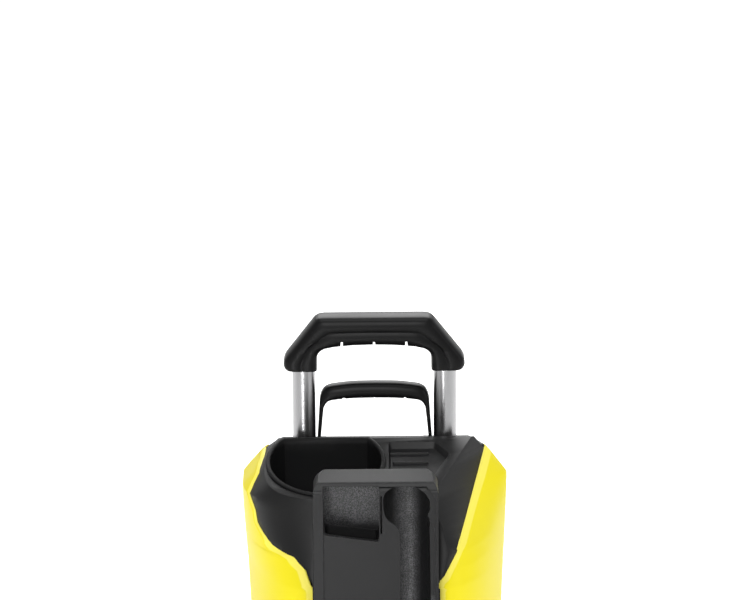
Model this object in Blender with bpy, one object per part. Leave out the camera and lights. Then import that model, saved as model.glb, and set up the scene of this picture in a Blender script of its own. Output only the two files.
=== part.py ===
"""Upright electric pressure washer, built in Blender as separate named pieces.

Every size below is in millimetres; mesh_object() turns them into metres.
+Z is up, the front faces -Y, +X is the right side seen from the front.
The origin is on the floor, under the middle of the overall box.
"""

import math

import bmesh
import bpy
from mathutils import Matrix, Vector

METRES = 0.001
GAP = 0.4          # air between two pieces that touch on the real machine
RUNNING = 0.3      # radial clearance of a shaft or tube that turns or slides
ROUND = 24         # sides of an ordinary round piece
SMOOTH_ANGLE = math.radians(32)

# --- overall and casing -------------------------------------------------------
BODY_FOOT_Z = 38.0       # lower edge of the casing panels
SHELL = 3.0              # casing wall
CREST_Y = 65.0           # rear edge of the sloping deck
CREST_Z = 448.0
DECK_SLOPE = 0.2755      # fall of the deck towards the front
SHELF_Z = 436.0          # flat shelf behind the crest, where the tubes come out
CASING_REAR = 115.0
SIDE_REAR = 88.0         # where the side shells end and the rear cover begins
SEAM_X = 69.3            # side shells meet the middle of the front here
PANEL_TOP = 431.8
CONSOLE_TOP = 232.0      # top of the lower front cover

# --- telescopic handle --------------------------------------------------------
TUBE_X = 78.0
TUBE_Y = 88.0
TUBE_RADIUS = 12.7
TUBE_WALL = 1.6
DECK_REAR = TUBE_Y - TUBE_RADIUS - 3.0    # where the deck ends and the rear cover begins
TUBE_FOOT_Z = 32.0
GRIP_TOP = 582.5
GRIP_HEIGHT = 60.0
GRIP_DEPTH = 38.0
GRIP_HALF_WIDTH = 100.0
GRIP_HALF_OPENING = TUBE_X - TUBE_RADIUS - 2.3
GRIP_BAR = 31.0          # thickness of the hand grip at its middle
INSERT_BAR = 9.0         # soft insert under the grip
FINGER_PITCH = 35.5
BUSH_HEIGHT = 36.0
GUIDE_RADIUS = TUBE_RADIUS + 2.7
GUIDE_WALL = 1.9

# --- carrying handle ----------------------------------------------------------
CARRY_TOP = 505.0
CARRY_HALF_WIDTH = TUBE_X - TUBE_RADIUS - 1.3
CARRY_TOP_HALF_WIDTH = CARRY_HALF_WIDTH - 5.0
CARRY_LEG = 3.6
CARRY_BAR = 17.0
CARRY_DEPTH = 22.0
CARRY_Y = 90.0

# --- bottle cup ---------------------------------------------------------------
CUP_X = -54.0
CUP_Y = 18.0
CUP_RADIUS = 61.0
CUP_WALL = 2.6
CUP_FLAT_Y = 58.5        # the cup's round wall is cut flat here
CUP_FLOOR_Z = 340.0

# --- storage tray in the deck -------------------------------------------------
TRAY_DEPTH = 6.5
TRAY_OUTLINE = ((13, 57), (68, 57), (84, 32), (64, -14), (13, -14))
TRAY_RIBS = ((37, 42, 45), (39, 25, 39))     # centre x, y and length
RIB_WIDTH = 3.0
RIB_HEIGHT = 1.6

# --- accessory holder, the tower on the front ---------------------------------
TOWER_HALF_WIDTH = 67.0
TOWER_REAR = -58.0
TOWER_TOP = 451.0
TOWER_FACE = ((447, -90), (440, -99), (324, -109), (233, -127))   # z, y of its face
TOWER_CORNER = 16.0
TOWER_WALL = 3.0
POCKET = (-56.3, 3.7)    # left and right side of the gun pocket
POCKET_LIP_Z = 387.0
POCKET_TOP_Z = 445.5
POCKET_REAR = -62.5
DIVIDER_TOP = 424.0
CHANNEL_X = 33.1
CHANNEL_RADIUS = 25.2
CHANNEL_FLOOR_Z = 262.0
CHANNEL_SLOT = (26.0, 58.5)

# --- wheels and feet ----------------------------------------------------------
WHEEL_RADIUS = 85.0
WHEEL_Y = 85.0
WHEEL_WIDTH = 30.0
WHEEL_INNER_X = 122.5
ARCH_RADIUS = 92.0
ARCH_X = 115.0
AXLE_RADIUS = 6.0
AXLE_START = TUBE_X + GUIDE_RADIUS + GUIDE_WALL + 2.7    # the axle's inner end
AXLE_HEAD = 2.0
HUB_DEPTH = 11.0         # the wheel's disc lies this deep inside its outer side
FOOT_X = 72.0
FOOT_Y = -152.0
FOOT_HEIGHT = 15.6

# --- motor and pump, on one upright shaft -------------------------------------
MOTOR_Y = 5.0
MOTOR_RADIUS = 54.0
MOTOR_WALL = 3.0
MOTOR_TOP = 322.0
MOTOR_FOOT = 172.0
SHAFT_RADIUS = 6.0
BEARING_RADIUS = 13.0
ROTOR_RADIUS = 31.0
FAN_RADIUS = 45.0
PUMP_RADIUS = 46.0
SWASH_TILT = math.radians(8)
PISTON_RADIUS = 6.0
PISTON_CIRCLE = 24.0
PISTON_TOP = 128.0
PISTON_LENGTH = 52.0
BLOCK_TOP = 116.0
BLOCK_FOOT = 64.0
HEAD_FOOT = 44.0

# --- water and power ----------------------------------------------------------
KNOB_X = 31.0
KNOB_Z = 186.0
KNOB_RADIUS = 24.0
KNOB_HEIGHT = 17.0
OUTLET_X = -31.0
OUTLET_Z = 150.0
OUTLET_RADIUS = 15.0
INLET_X = GUIDE_RADIUS + GUIDE_WALL + 8.7 - TUBE_X     # clear of the left guide tube
INLET_Z = 150.0
GLAND_X = -INLET_X       # clear of the right guide tube
GLAND_Z = 96.0

# Casing stations, from the top down: height, front face y, half width, and how
# much narrower the rear is. Then on the right: half width of the flat front, the
# seam's x and y, y where the side begins, and how full the corner between the
# seam and the side is. Then on the left: half width, half width of the flat
# front, y where the side begins, and the share of the width where it turns.
STATIONS = (
    (470, -50, 99.5, 8, 27, 99.0, 75, 76, 0.50, 92, 54, 20, 0.97),
    (448, -50, 113.0, 8, 40, 112.6, 75, 76, 0.50, 105, 54, 20, 0.97),
    (432, -51, 122.6, 8, 50, 122.3, 75, 76, 0.50, 122.6, 54, 22, 0.97),
    (408, -54, 143.4, 8, 62, 111.5, 31, 62, 0.50, 143.4, 54, 26, 0.96),
    (385, -60, 142.6, 3, 72, 101.0, -11, 55, 0.44, 142.6, 54, 28, 0.95),
    (358, -70, 141.0, 0, 79, 88.5, -60, 48, 0.30, 141.0, 54, 30, 0.92),
    (342, -76, 140.0, 0, 74, 78.5, -73, 40, 0.15, 140.0, 58, 30, 0.88),
    (324, -83, 138.5, 0, 66, SEAM_X, -83, 30, 0.04, 138.5, 64, 30, 0.85),
    (275, -92, 135.6, 0, 66, SEAM_X, -92, 10, 0.04, 135.6, 66, 10, 0.84),
    (200, -112, 135.0, 0, 66, SEAM_X, -112, -15, 0.04, 135.0, 66, -15, 0.84),
    (130, -140, 135.0, 0, 66, SEAM_X, -140, -45, 0.04, 135.0, 66, -45, 0.84),
    (38, -165, 134.0, 0, 66, SEAM_X, -165, -78, 0.04, 134.0, 66, -78, 0.84),
)
BASE_FRONT = -190.0      # the base reaches further forward than the casing
CORNER_POINTS = 4

# Outlines of the side shells seen from the side (y, z), above where they reach
# the middle of the front.
RIGHT_SEAM = ((75, PANEL_TOP), (31, 408), (-11, 385), (-60, 358), (-73, 342), (-84, 324))
LEFT_SEAM = ((75, PANEL_TOP), (28, 420), (0, 388), (-22, 369), (-42, 361), (-60, 353),
             (-72, 342), (-84, 324))

BLACK = (0.018, 0.018, 0.019)
DARK_GREY = (0.045, 0.045, 0.047)
YELLOW = (0.86, 0.76, 0.02)
ALUMINIUM = (0.72, 0.73, 0.74)
STEEL = (0.55, 0.56, 0.58)
RUBBER = (0.03, 0.03, 0.03)
BRASS = (0.70, 0.52, 0.22)
COPPER = (0.72, 0.38, 0.22)
WHITE = (0.75, 0.75, 0.73)


# --- making and joining meshes ------------------------------------------------

def mesh_object(name, points, faces, twisted=False):
    """A closed mesh from points in millimetres, with its faces pointing out.

    A mesh whose quads aren't flat is split into triangles, which Booleans need.
    """
    mesh = bpy.data.meshes.new(name)
    mesh.from_pydata([Vector(p) * METRES for p in points], [], faces)
    bm = bmesh.new()
    bm.from_mesh(mesh)
    bmesh.ops.remove_doubles(bm, verts=bm.verts, dist=1e-6)
    if twisted:
        bmesh.ops.triangulate(bm, faces=bm.faces)
    bmesh.ops.recalc_face_normals(bm, faces=bm.faces)
    bm.to_mesh(mesh)
    bm.free()
    obj = bpy.data.objects.new(name, mesh)
    bpy.context.scene.collection.objects.link(obj)
    return obj


def loft(name, rings, twisted=False):
    """Skins rings that have the same number of points, and caps both ends."""
    count = len(rings[0])
    points = [p for ring in rings for p in ring]
    faces = [
        (r * count + i, r * count + (i + 1) % count,
         (r + 1) * count + (i + 1) % count, (r + 1) * count + i)
        for r in range(len(rings) - 1) for i in range(count)
    ]
    last = (len(rings) - 1) * count
    faces += [tuple(range(count)), tuple(range(last, last + count))]
    return mesh_object(name, points, faces, twisted)


def prism(name, outline, low, high, along="Z"):
    """A flat outline pushed along an axis. Along X it holds (y, z), along Y (x, z), along Z (x, y)."""
    place = {
        "X": lambda p, h: (h, p[0], p[1]),
        "Y": lambda p, h: (p[0], h, p[1]),
        "Z": lambda p, h: (p[0], p[1], h),
    }[along]
    return loft(name, [[place(p, h) for p in outline] for h in (low, high)])


def box(name, low, high):
    outline = ((low[0], low[1]), (high[0], low[1]), (high[0], high[1]), (low[0], high[1]))
    return prism(name, outline, low[2], high[2])


def turned(name, profile, centre=(0, 0, 0), along=(0, 0, 1), sides=ROUND):
    """A closed profile of (radius, height) turned about an axis through centre."""
    turn = Vector((0, 0, 1)).rotation_difference(Vector(along)).to_matrix()
    centre = Vector(centre)
    points, faces, rows = [], [], []
    for radius, height in profile:
        if radius < 1e-6:
            rows.append([len(points)])
            points.append(centre + turn @ Vector((0, 0, height)))
            continue
        rows.append(list(range(len(points), len(points) + sides)))
        for i in range(sides):
            angle = 2 * math.pi * i / sides
            spot = Vector((radius * math.cos(angle), radius * math.sin(angle), height))
            points.append(centre + turn @ spot)
    for a, b in zip(rows, rows[1:] + rows[:1]):
        for i in range(sides):
            j = (i + 1) % sides
            if len(a) == 1 and len(b) == 1:
                break
            if len(a) == 1:
                faces.append((a[0], b[i], b[j]))
            elif len(b) == 1:
                faces.append((a[i], b[0], a[j]))
            else:
                faces.append((a[i], b[i], b[j], a[j]))
    return mesh_object(name, points, faces)


def rod(name, radius, start, end, sides=ROUND):
    start, end = Vector(start), Vector(end)
    length = (end - start).length
    return turned(name, ((0, 0), (radius, 0), (radius, length), (0, length)), start, end - start, sides)


def ring(name, inner, outer, low, high, centre=(0, 0, 0), along=(0, 0, 1), sides=ROUND):
    profile = ((inner, low), (outer, low), (outer, high), (inner, high))
    return turned(name, profile, centre, along, sides)


def combine(obj, other, operation):
    """Cuts, joins or intersects obj with another mesh, which is then removed."""
    modifier = obj.modifiers.new(operation, "BOOLEAN")
    modifier.operation = operation
    modifier.object = other
    graph = bpy.context.evaluated_depsgraph_get()
    obj.data = bpy.data.meshes.new_from_object(obj.evaluated_get(graph))
    obj.modifiers.clear()
    bpy.data.objects.remove(other)
    return obj


def cut(obj, *tools):
    for tool in tools:
        combine(obj, tool, "DIFFERENCE")
    return obj


def join(obj, *others):
    for other in others:
        combine(obj, other, "UNION")
    return obj


def keep(obj, region):
    return combine(obj, region, "INTERSECT")


def copy_of(obj, name):
    twin = bpy.data.objects.new(name, obj.data.copy())
    bpy.context.scene.collection.objects.link(twin)
    return twin


def bevelled(obj, width, segments=2, angle=40):
    modifier = obj.modifiers.new("edges", "BEVEL")
    modifier.width = width * METRES
    modifier.segments = segments
    modifier.limit_method = "ANGLE"
    modifier.angle_limit = math.radians(angle)
    graph = bpy.context.evaluated_depsgraph_get()
    obj.data = bpy.data.meshes.new_from_object(obj.evaluated_get(graph))
    obj.modifiers.clear()
    return obj


def finished(obj, colour, roughness=0.5, metallic=0.0, pivot=(0, 0, 0)):
    """Gives the piece its own material, smooth shading and an origin on its axis."""
    finish = bpy.data.materials.new(obj.name + "_finish")
    finish.use_nodes = True
    shader = finish.node_tree.nodes["Principled BSDF"]
    shader.inputs["Base Color"].default_value = (*colour, 1)
    shader.inputs["Roughness"].default_value = roughness
    shader.inputs["Metallic"].default_value = metallic
    finish.diffuse_color = (*colour, 1)
    obj.data.materials.clear()
    obj.data.materials.append(finish)
    obj.data.shade_smooth()
    obj.data.set_sharp_from_angle(angle=SMOOTH_ANGLE)
    spot = Vector(pivot) * METRES
    obj.data.transform(Matrix.Translation(-spot))
    obj.location = spot
    return obj


def mirrored(points):
    return [(-x, y) for x, y in reversed(points)]


def arc(centre, radius, start, end, steps):
    """Points on an arc, in degrees."""
    return [
        (centre[0] + radius * math.cos(math.radians(start + (end - start) * i / steps)),
         centre[1] + radius * math.sin(math.radians(start + (end - start) * i / steps)))
        for i in range(steps + 1)
    ]


def rounded_box_outline(low, high, radius, steps=3):
    (x0, y0), (x1, y1) = low, high
    corners = (((x1 - radius, y0 + radius), -90), ((x1 - radius, y1 - radius), 0),
               ((x0 + radius, y1 - radius), 90), ((x0 + radius, y0 + radius), 180))
    return [p for centre, start in corners for p in arc(centre, radius, start, start + 90, steps)]


# --- the casing's form --------------------------------------------------------

def face_y(table, z):
    """Reads y from a list of (z, y) that falls in z."""
    for (z1, y1), (z0, y0) in zip(table, table[1:]):
        if z >= z0:
            share = (z - z0) / (z1 - z0)
            return y0 + (y1 - y0) * share
    return table[-1][1]


def front_y(z):
    return face_y([(row[0], row[1]) for row in STATIONS], z)


def deck_z(y):
    return CREST_Z - DECK_SLOPE * (CREST_Y - y)


def bezier(start, corner, end):
    points = []
    for i in range(CORNER_POINTS):
        t = (i + 1) / (CORNER_POINTS + 1)
        points.append(tuple(
            (1 - t) ** 2 * a + 2 * t * (1 - t) * b + t ** 2 * c
            for a, b, c in zip(start, corner, end)
        ))
    return points


def rear_corner(width, taper):
    return [(width - taper, SIDE_REAR + 5), (width - 5 - 1.2 * taper, CASING_REAR - 10),
            (width - 20 - 1.2 * taper, CASING_REAR)]


def casing_ring(station, inset=0.0):
    """One level of the casing as (x, y, z), counted from the front's right corner round to its left."""
    z, front, width, taper = station[:4]
    flat, seam_x, seam_y, side, fullness, left_width, left_flat, left_side, share = station[4:]
    seam, corner = (seam_x, seam_y), (width, side)
    turn = (seam_x + 0.62 * (width - seam_x), seam_y + fullness * (side - seam_y))
    right = [(flat, front), seam, *bezier(seam, turn, corner), corner, *rear_corner(width, taper)]
    start, corner = (left_flat, front), (left_width, left_side)
    left = [start, *bezier(start, (share * left_width, front), corner), corner,
            (left_width, CREST_Y + 10), *rear_corner(left_width, taper)]
    outline = right + mirrored(left)
    middle, depth = (front + CASING_REAR) / 2, (CASING_REAR - front) / 2
    across, along = 1 - inset / width, 1 - inset / depth
    return [(x * across, middle + (y - middle) * along, z) for x, y in outline]


def inset_outline(outline, distance):
    """Moves each side of a convex outline inwards by a distance."""
    moved = []
    count = len(outline)
    for i in range(count):
        before, here, after = (Vector(outline[(i + k) % count]) for k in (-1, 0, 1))
        first, second = (here - before).normalized(), (after - here).normalized()
        normal = Vector((-first.y, first.x)) + Vector((-second.y, second.x))
        normal.normalize()
        stretch = max(0.5, normal.dot(Vector((-first.y, first.x))))
        moved.append(tuple(here + normal * (distance / stretch)))
    return moved


def above_deck(drop=0.0):
    """Everything above the casing's roof, as a bar across the machine."""
    roof = ((-200, deck_z(-200) - drop), (CREST_Y, CREST_Z - drop),
            (CREST_Y + 4, CREST_Z - 1 - drop), (DECK_REAR - 0.9, SHELF_Z - drop),
            (CASING_REAR - 8, SHELF_Z - drop), (CASING_REAR + 20, SHELF_Z - 22 - drop),
            (CASING_REAR + 20, 700), (-200, 700))
    return prism("above_deck", roof, -300, 300, "X")


def casing_shell():
    shell = cut(loft("casing_form", [casing_ring(row) for row in STATIONS], True), above_deck())
    rings = [casing_ring(row, SHELL) for row in STATIONS]
    rings.append([(x, y, BODY_FOOT_Z - 20) for x, y, z in rings[-1]])
    inner = cut(loft("casing_hollow", rings, True), above_deck(SHELL))
    return cut(shell, inner)


def side_region(seam, side, grow=0.0):
    """The block that holds one side shell. side is 1 on the right and -1 on the left."""
    outline = [(y - grow, z + grow) for y, z in seam]
    outline += [(-250, 324 + grow), (-250, 0), (SIDE_REAR + grow, 0), (SIDE_REAR + grow, PANEL_TOP + grow)]
    inner_x = SEAM_X - grow
    low, high = (inner_x, 300) if side > 0 else (-300, -inner_x)
    return prism("side_region", outline, low, high, "X")


def rear_region(grow=0.0):
    outline = ((DECK_REAR - grow, 600), (DECK_REAR - grow, PANEL_TOP + 0.6 - grow),
               (SIDE_REAR + 0.6 - grow, PANEL_TOP + 0.6 - grow), (SIDE_REAR + 0.6 - grow, 0),
               (300, 0), (300, 600))
    return prism("rear_region", outline, -300, 300, "X")


def wheel_arch(side):
    reach = sorted((side * ARCH_X, side * 300))
    return rod("arch", ARCH_RADIUS, (reach[0], WHEEL_Y, WHEEL_RADIUS),
               (reach[1], WHEEL_Y, WHEEL_RADIUS), 36)


def make_side_shells(shell):
    for side, name, seam in ((1, "right_side_shell", RIGHT_SEAM), (-1, "left_side_shell", LEFT_SEAM)):
        panel = keep(copy_of(shell, name), side_region(seam, side))
        cut(panel, wheel_arch(side))
        finished(panel, YELLOW, 0.32)


def tower_clearance():
    half = TOWER_HALF_WIDTH + GAP
    return box("tower_clearance", (-half, -200, CONSOLE_TOP - 30), (half, TOWER_REAR + GAP, 500))


def make_deck_cover(shell):
    """Deck, its crest, the bottle opening, the storage tray and the black cheeks."""
    deck = copy_of(shell, "deck_cover")
    cut(deck, rear_region(0.6), side_region(RIGHT_SEAM, 1, 0.6), side_region(LEFT_SEAM, -1, 0.6))
    cut(deck, box("below", (-300, -300, 0), (300, 300, CONSOLE_TOP + 10)), tower_clearance())
    cut(deck, prism("bottle_opening", cup_outline(CUP_RADIUS + CUP_WALL + GAP), 380, 500))
    floor_low = [(x, y, deck_z(y) - TRAY_DEPTH - SHELL) for x, y in TRAY_OUTLINE]
    tray = loft("tray", [floor_low, [(x, y, deck_z(y) - 1) for x, y in TRAY_OUTLINE]])
    join(deck, tray)
    inner = inset_outline(TRAY_OUTLINE[::-1], SHELL - 1)
    hollow = loft("tray_hollow", [[(x, y, deck_z(y) - TRAY_DEPTH) for x, y in inner],
                                  [(x, y, deck_z(y) + 20) for x, y in inner]])
    cut(deck, hollow)
    for x, y, length in TRAY_RIBS:
        outline = rounded_box_outline((x - length / 2, y - RIB_WIDTH / 2),
                                      (x + length / 2, y + RIB_WIDTH / 2), RIB_WIDTH / 2 - 0.1, 2)
        base, top = ([(a, b, deck_z(b) - TRAY_DEPTH + lift) for a, b in outline]
                     for lift in (-1.0, RIB_HEIGHT))
        join(deck, loft("rib", [base, top]))
    finished(deck, BLACK, 0.45)


def make_lower_front_cover(shell):
    cover = copy_of(shell, "lower_front_cover")
    half = SEAM_X - 0.6
    keep(cover, box("console", (-half, -300, 0), (half, 0, CONSOLE_TOP)))
    cut(cover, rod("knob_hole", SHAFT_RADIUS + 1, console_point(KNOB_X, KNOB_Z, -20),
                   console_point(KNOB_X, KNOB_Z, 20)))
    cut(cover, rod("outlet_hole", OUTLET_RADIUS + GAP, console_point(OUTLET_X, OUTLET_Z, -20),
                   console_point(OUTLET_X, OUTLET_Z, 20)))
    finished(cover, BLACK, 0.45)


def console_normal():
    low, high = Vector((front_y(130), 130)), Vector((front_y(200), 200))
    run = (high - low).normalized()
    return Vector((0, -run.y, run.x))


def console_point(x, z, out):
    """A point this far out from the console's sloping face."""
    return Vector((x, front_y(z), z)) + console_normal() * out


def console_box(name, low, high, seat):
    """A box on the console: x across, y up the slope and z out of it, from seat."""
    obj = box(name, low, high)
    out = console_normal()
    up = out.cross(Vector((1, 0, 0)))
    turn = Matrix(((1, up.x, out.x), (0, up.y, out.y), (0, up.z, out.z))).to_4x4()
    obj.data.transform(Matrix.Translation(seat * METRES) @ turn)
    return obj


def make_rear_cover(shell):
    cover = keep(copy_of(shell, "rear_cover"), rear_region(0.0))
    for side in (-1, 1):
        cut(cover, wheel_arch(side))
        cut(cover, rod("tube_hole", TUBE_RADIUS + 0.6, (side * TUBE_X, TUBE_Y, 400),
                       (side * TUBE_X, TUBE_Y, 500)))
    for row in range(6):
        z = 190 + 9 * row
        cut(cover, box("vent", (-42, CASING_REAR - 20, z), (42, CASING_REAR + 20, z + 4)))
    cut(cover, rod("inlet_hole", 14 + GAP, (INLET_X, 90, INLET_Z), (INLET_X, 140, INLET_Z)))
    cut(cover, rod("gland_hole", 9 + GAP, (GLAND_X, 90, GLAND_Z), (GLAND_X, 140, GLAND_Z)))
    finished(cover, BLACK, 0.5)


# --- base, wheels and feet ----------------------------------------------------

def make_base():
    top = casing_ring(STATIONS[-1], 0.2)
    reach = BASE_FRONT / top[0][1]
    toe = [(x, y * reach if y < 0 else y) for x, y, z in top]
    base = loft("base_chassis", [
        [(x * 0.985, y * 0.985, 14) for x, y in toe], [(x, y, 18) for x, y in toe],
        [(x, y, 26) for x, y in toe], [(x, y, BODY_FOOT_Z - GAP) for x, y, z in top],
    ])
    well = casing_ring(STATIONS[-1], 4.5)
    cut(base, loft("well", [[(x, y, 28) for x, y, z in well], [(x, y, 60) for x, y, z in well]]))
    under = inset_outline([(x, y) for x, y in toe], 5)
    cut(base, loft("underside", [[(x, y, 0) for x, y in under], [(x, y, 24) for x, y in under]]))
    for side in (-1, 1):
        cut(base, wheel_arch(side))
        low, high = sorted((side * (ARCH_X - 1), side * (ARCH_X - 4)))
        rear = CASING_REAR - SHELL - 2.4
        plate = [p for p in arc((WHEEL_Y, WHEEL_RADIUS), ARCH_RADIUS + 3, 0, 180, 16)
                 if p[0] < rear]
        plate = [(rear, 26), (rear, plate[0][1])] + plate + [(plate[-1][0], 26)]
        join(base, prism("arch_plate", plate, low, high, "X"))
        low, high = sorted((side * (ARCH_X - 3.5), side * 129.5))
        liner = turned("arch_liner", ((ARCH_RADIUS + 0.5, low), (ARCH_RADIUS + 2.8, low),
                                      (ARCH_RADIUS + 2.8, high), (ARCH_RADIUS + 0.5, high)),
                       (0, WHEEL_Y, WHEEL_RADIUS), (1, 0, 0), 36)
        keep(liner, box("above_floor", (-200, -200, BODY_FOOT_Z + 2), (200, rear - 0.8, 300)))
        keep(liner, side_liner_limit(side))
        join(base, liner)
        join(base, rod("axle_boss", 13, (side * (AXLE_START - 2), WHEEL_Y, WHEEL_RADIUS),
                       (side * (ARCH_X - 0.5), WHEEL_Y, WHEEL_RADIUS)))
        join(base, rod("foot_boss", 9, (side * FOOT_X, FOOT_Y, FOOT_HEIGHT + 0.4), (side * FOOT_X, FOOT_Y, 25)))
        cut(base, rod("axle_hole", AXLE_RADIUS + GAP, (side * (AXLE_START - 1), WHEEL_Y, WHEEL_RADIUS),
                      (side * 140, WHEEL_Y, WHEEL_RADIUS)))
    for angle in (90, 210, 330):
        x = 36 * math.cos(math.radians(angle))
        y = MOTOR_Y + 36 * math.sin(math.radians(angle))
        join(base, rod("pump_post", 6, (x, y, 26), (x, y, HEAD_FOOT - GAP), 16))
    finished(base, BLACK, 0.6)


def side_liner_limit(side):
    """Inside of the side shells, which the arch liner must stay clear of."""
    rings = [casing_ring(row, SHELL + 1) for row in STATIONS]
    rings.append([(x, y, 0) for x, y, z in rings[-1]])
    return loft("liner_limit", rings)


def make_wheels():
    for side, hand in ((1, "right"), (-1, "left")):
        centre, along = (side * WHEEL_INNER_X, WHEEL_Y, WHEEL_RADIUS), (side, 0, 0)
        outer = WHEEL_WIDTH
        wheel = turned(hand + "_wheel", (
            (AXLE_RADIUS + RUNNING, 2), (14, 2), (14, 9), (62, 9), (66, 1.5), (79, 0),
            (WHEEL_RADIUS, 6), (WHEEL_RADIUS, outer - 6), (79, outer),
            (66, outer - 1.5), (62, outer - HUB_DEPTH), (AXLE_RADIUS + RUNNING, outer - HUB_DEPTH),
        ), centre, along, 40)
        finished(wheel, RUBBER, 0.7, pivot=centre)
        cap = turned(hand + "_hub_cap", (
            (0, outer - 6), (18, outer - 6), (18, outer - HUB_DEPTH + GAP), (23, outer - HUB_DEPTH + GAP),
            (23, outer - 4), (17, outer - 1), (0, outer),
        ), centre, along, 32)
        finished(cap, YELLOW, 0.35, pivot=centre)
        shank = WHEEL_INNER_X + outer - HUB_DEPTH + 0.5 - AXLE_START
        axle = turned(hand + "_axle", (
            (0, 0), (AXLE_RADIUS, 0), (AXLE_RADIUS, shank), (AXLE_RADIUS + 3, shank),
            (AXLE_RADIUS + 3, shank + AXLE_HEAD), (0, shank + AXLE_HEAD),
        ), (side * AXLE_START, WHEEL_Y, WHEEL_RADIUS), along, 20)
        finished(axle, STEEL, 0.35, 1.0)
        foot = turned(hand + "_foot", ((0, 0), (13, 0), (15, 2), (13, FOOT_HEIGHT), (0, FOOT_HEIGHT)),
                      (side * FOOT_X, FOOT_Y, 0), sides=24)
        finished(foot, RUBBER, 0.85)


# --- deck fittings ------------------------------------------------------------

def cup_outline(radius):
    """The bottle cup's round outline, cut flat at the rear."""
    flat = CUP_FLAT_Y + (radius - CUP_RADIUS) - CUP_Y
    half = math.degrees(math.asin(flat / radius))
    return arc((CUP_X, CUP_Y), radius, -180 - half, half, 30)


def below_deck(lift):
    """Keeps what lies below the deck plane raised by lift."""
    slab = ((-200, 0), (CREST_Y, 0), (CREST_Y, CREST_Z + lift), (-200, deck_z(-200) + lift))
    return prism("below_deck", slab, -300, 300, "X")


def make_bottle_cup():
    wall = CUP_RADIUS + CUP_WALL
    cup = prism("bottle_cup", cup_outline(wall), CUP_FLOOR_Z - CUP_WALL, 460)
    rim = prism("rim", cup_outline(wall + 2.6), 380, 460)
    keep(cup, below_deck(2.4))
    keep(rim, below_deck(2.4))
    under = prism("under_rim", ((-200, 0), (200, 0), (200, deck_z(200) + GAP), (-200, deck_z(-200) + GAP)), -300, 300, "X")
    cut(rim, under)
    join(cup, rim)
    cut(cup, prism("cup_hollow", cup_outline(CUP_RADIUS), CUP_FLOOR_Z, 480))
    cut(cup, rod("socket_hole", 10 + GAP, (CUP_X, CUP_Y, CUP_FLOOR_Z - 10), (CUP_X, CUP_Y, CUP_FLOOR_Z + 10)))
    finished(cup, BLACK, 0.5)
    socket = turned("detergent_socket", ((3, -14), (6, -14), (10, -10), (10, GAP), (14, GAP), (14, 5), (9, 8), (6, 22), (3, 22)),
                    (CUP_X, CUP_Y, CUP_FLOOR_Z), sides=24)
    finished(socket, DARK_GREY, 0.4)


def tower_side_outline(rear, inset=0.0):
    """The tower seen from the side, as (y, z)."""
    face = [(y + inset, z) for z, y in TOWER_FACE]
    top = TOWER_TOP - inset
    return [(rear, CONSOLE_TOP + 1), (face[-1][0], CONSOLE_TOP + 1), *reversed(face[1:-1]),
            (face[0][0], TOWER_FACE[0][0] - inset), (rear + 4, top), (rear, top - 2)]


def make_accessory_holder():
    tower = prism("accessory_holder", tower_side_outline(TOWER_REAR), -TOWER_HALF_WIDTH, TOWER_HALF_WIDTH, "X")
    radius, half = TOWER_CORNER, TOWER_HALF_WIDTH
    front = [(half, 200), *arc((half - radius, TOWER_TOP - radius), radius, 0, 90, 5)]
    keep(tower, prism("tower_front", front + mirrored(front), -300, 0, "Y"))
    left, right = POCKET
    mouth = [(-150, POCKET_LIP_Z), (-150, POCKET_TOP_Z - 9), (-95, POCKET_TOP_Z), (POCKET_REAR - 6, POCKET_TOP_Z),
             (POCKET_REAR, POCKET_TOP_Z - 6), (POCKET_REAR, POCKET_LIP_Z - 2)]
    cut(tower, prism("gun_mouth", mouth, left, right, "X"))
    cut(tower, box("gun_well", (left + 3, -96, 300), (right - 3, POCKET_REAR - 1, POCKET_LIP_Z + 4)))
    lean = Vector((0, -0.17, -1)).normalized()
    top = Vector((CHANNEL_X, -84, POCKET_TOP_Z - 2))
    foot = top + lean * ((top.z - CHANNEL_FLOOR_Z) / -lean.z)
    cut(tower, rod("channel", CHANNEL_RADIUS, foot, top, 32))
    slot = [(foot.y, CHANNEL_FLOOR_Z), (top.y, POCKET_TOP_Z - 4), (-160, POCKET_TOP_Z - 14), (-160, CHANNEL_FLOOR_Z)]
    cut(tower, prism("channel_slot", slot, *CHANNEL_SLOT, "X"))
    upper = [(-160, 408), (-160, POCKET_TOP_Z - 9), (-95, POCKET_TOP_Z - 2), (-84, POCKET_TOP_Z - 2), (-84, 400)]
    cut(tower, prism("channel_mouth", upper, CHANNEL_X - CHANNEL_RADIUS + 0.2, CHANNEL_X + CHANNEL_RADIUS - 0.2, "X"))
    cut(tower, box("divider_notch", (right - 1, -150, DIVIDER_TOP), (CHANNEL_X - CHANNEL_RADIUS + 1, POCKET_REAR - 8, POCKET_TOP_Z - 6)))
    hollow = [(TOWER_REAR + 20, CONSOLE_TOP + 5), (face_y(TOWER_FACE, 236) + TOWER_WALL, CONSOLE_TOP + 5),
              (face_y(TOWER_FACE, 294) + TOWER_WALL, 294), (TOWER_REAR + 20, 294)]
    cut(tower, prism("rear_hollow", hollow, left, CHANNEL_X - CHANNEL_RADIUS - 3, "X"))
    finished(tower, DARK_GREY, 0.42)


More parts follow.
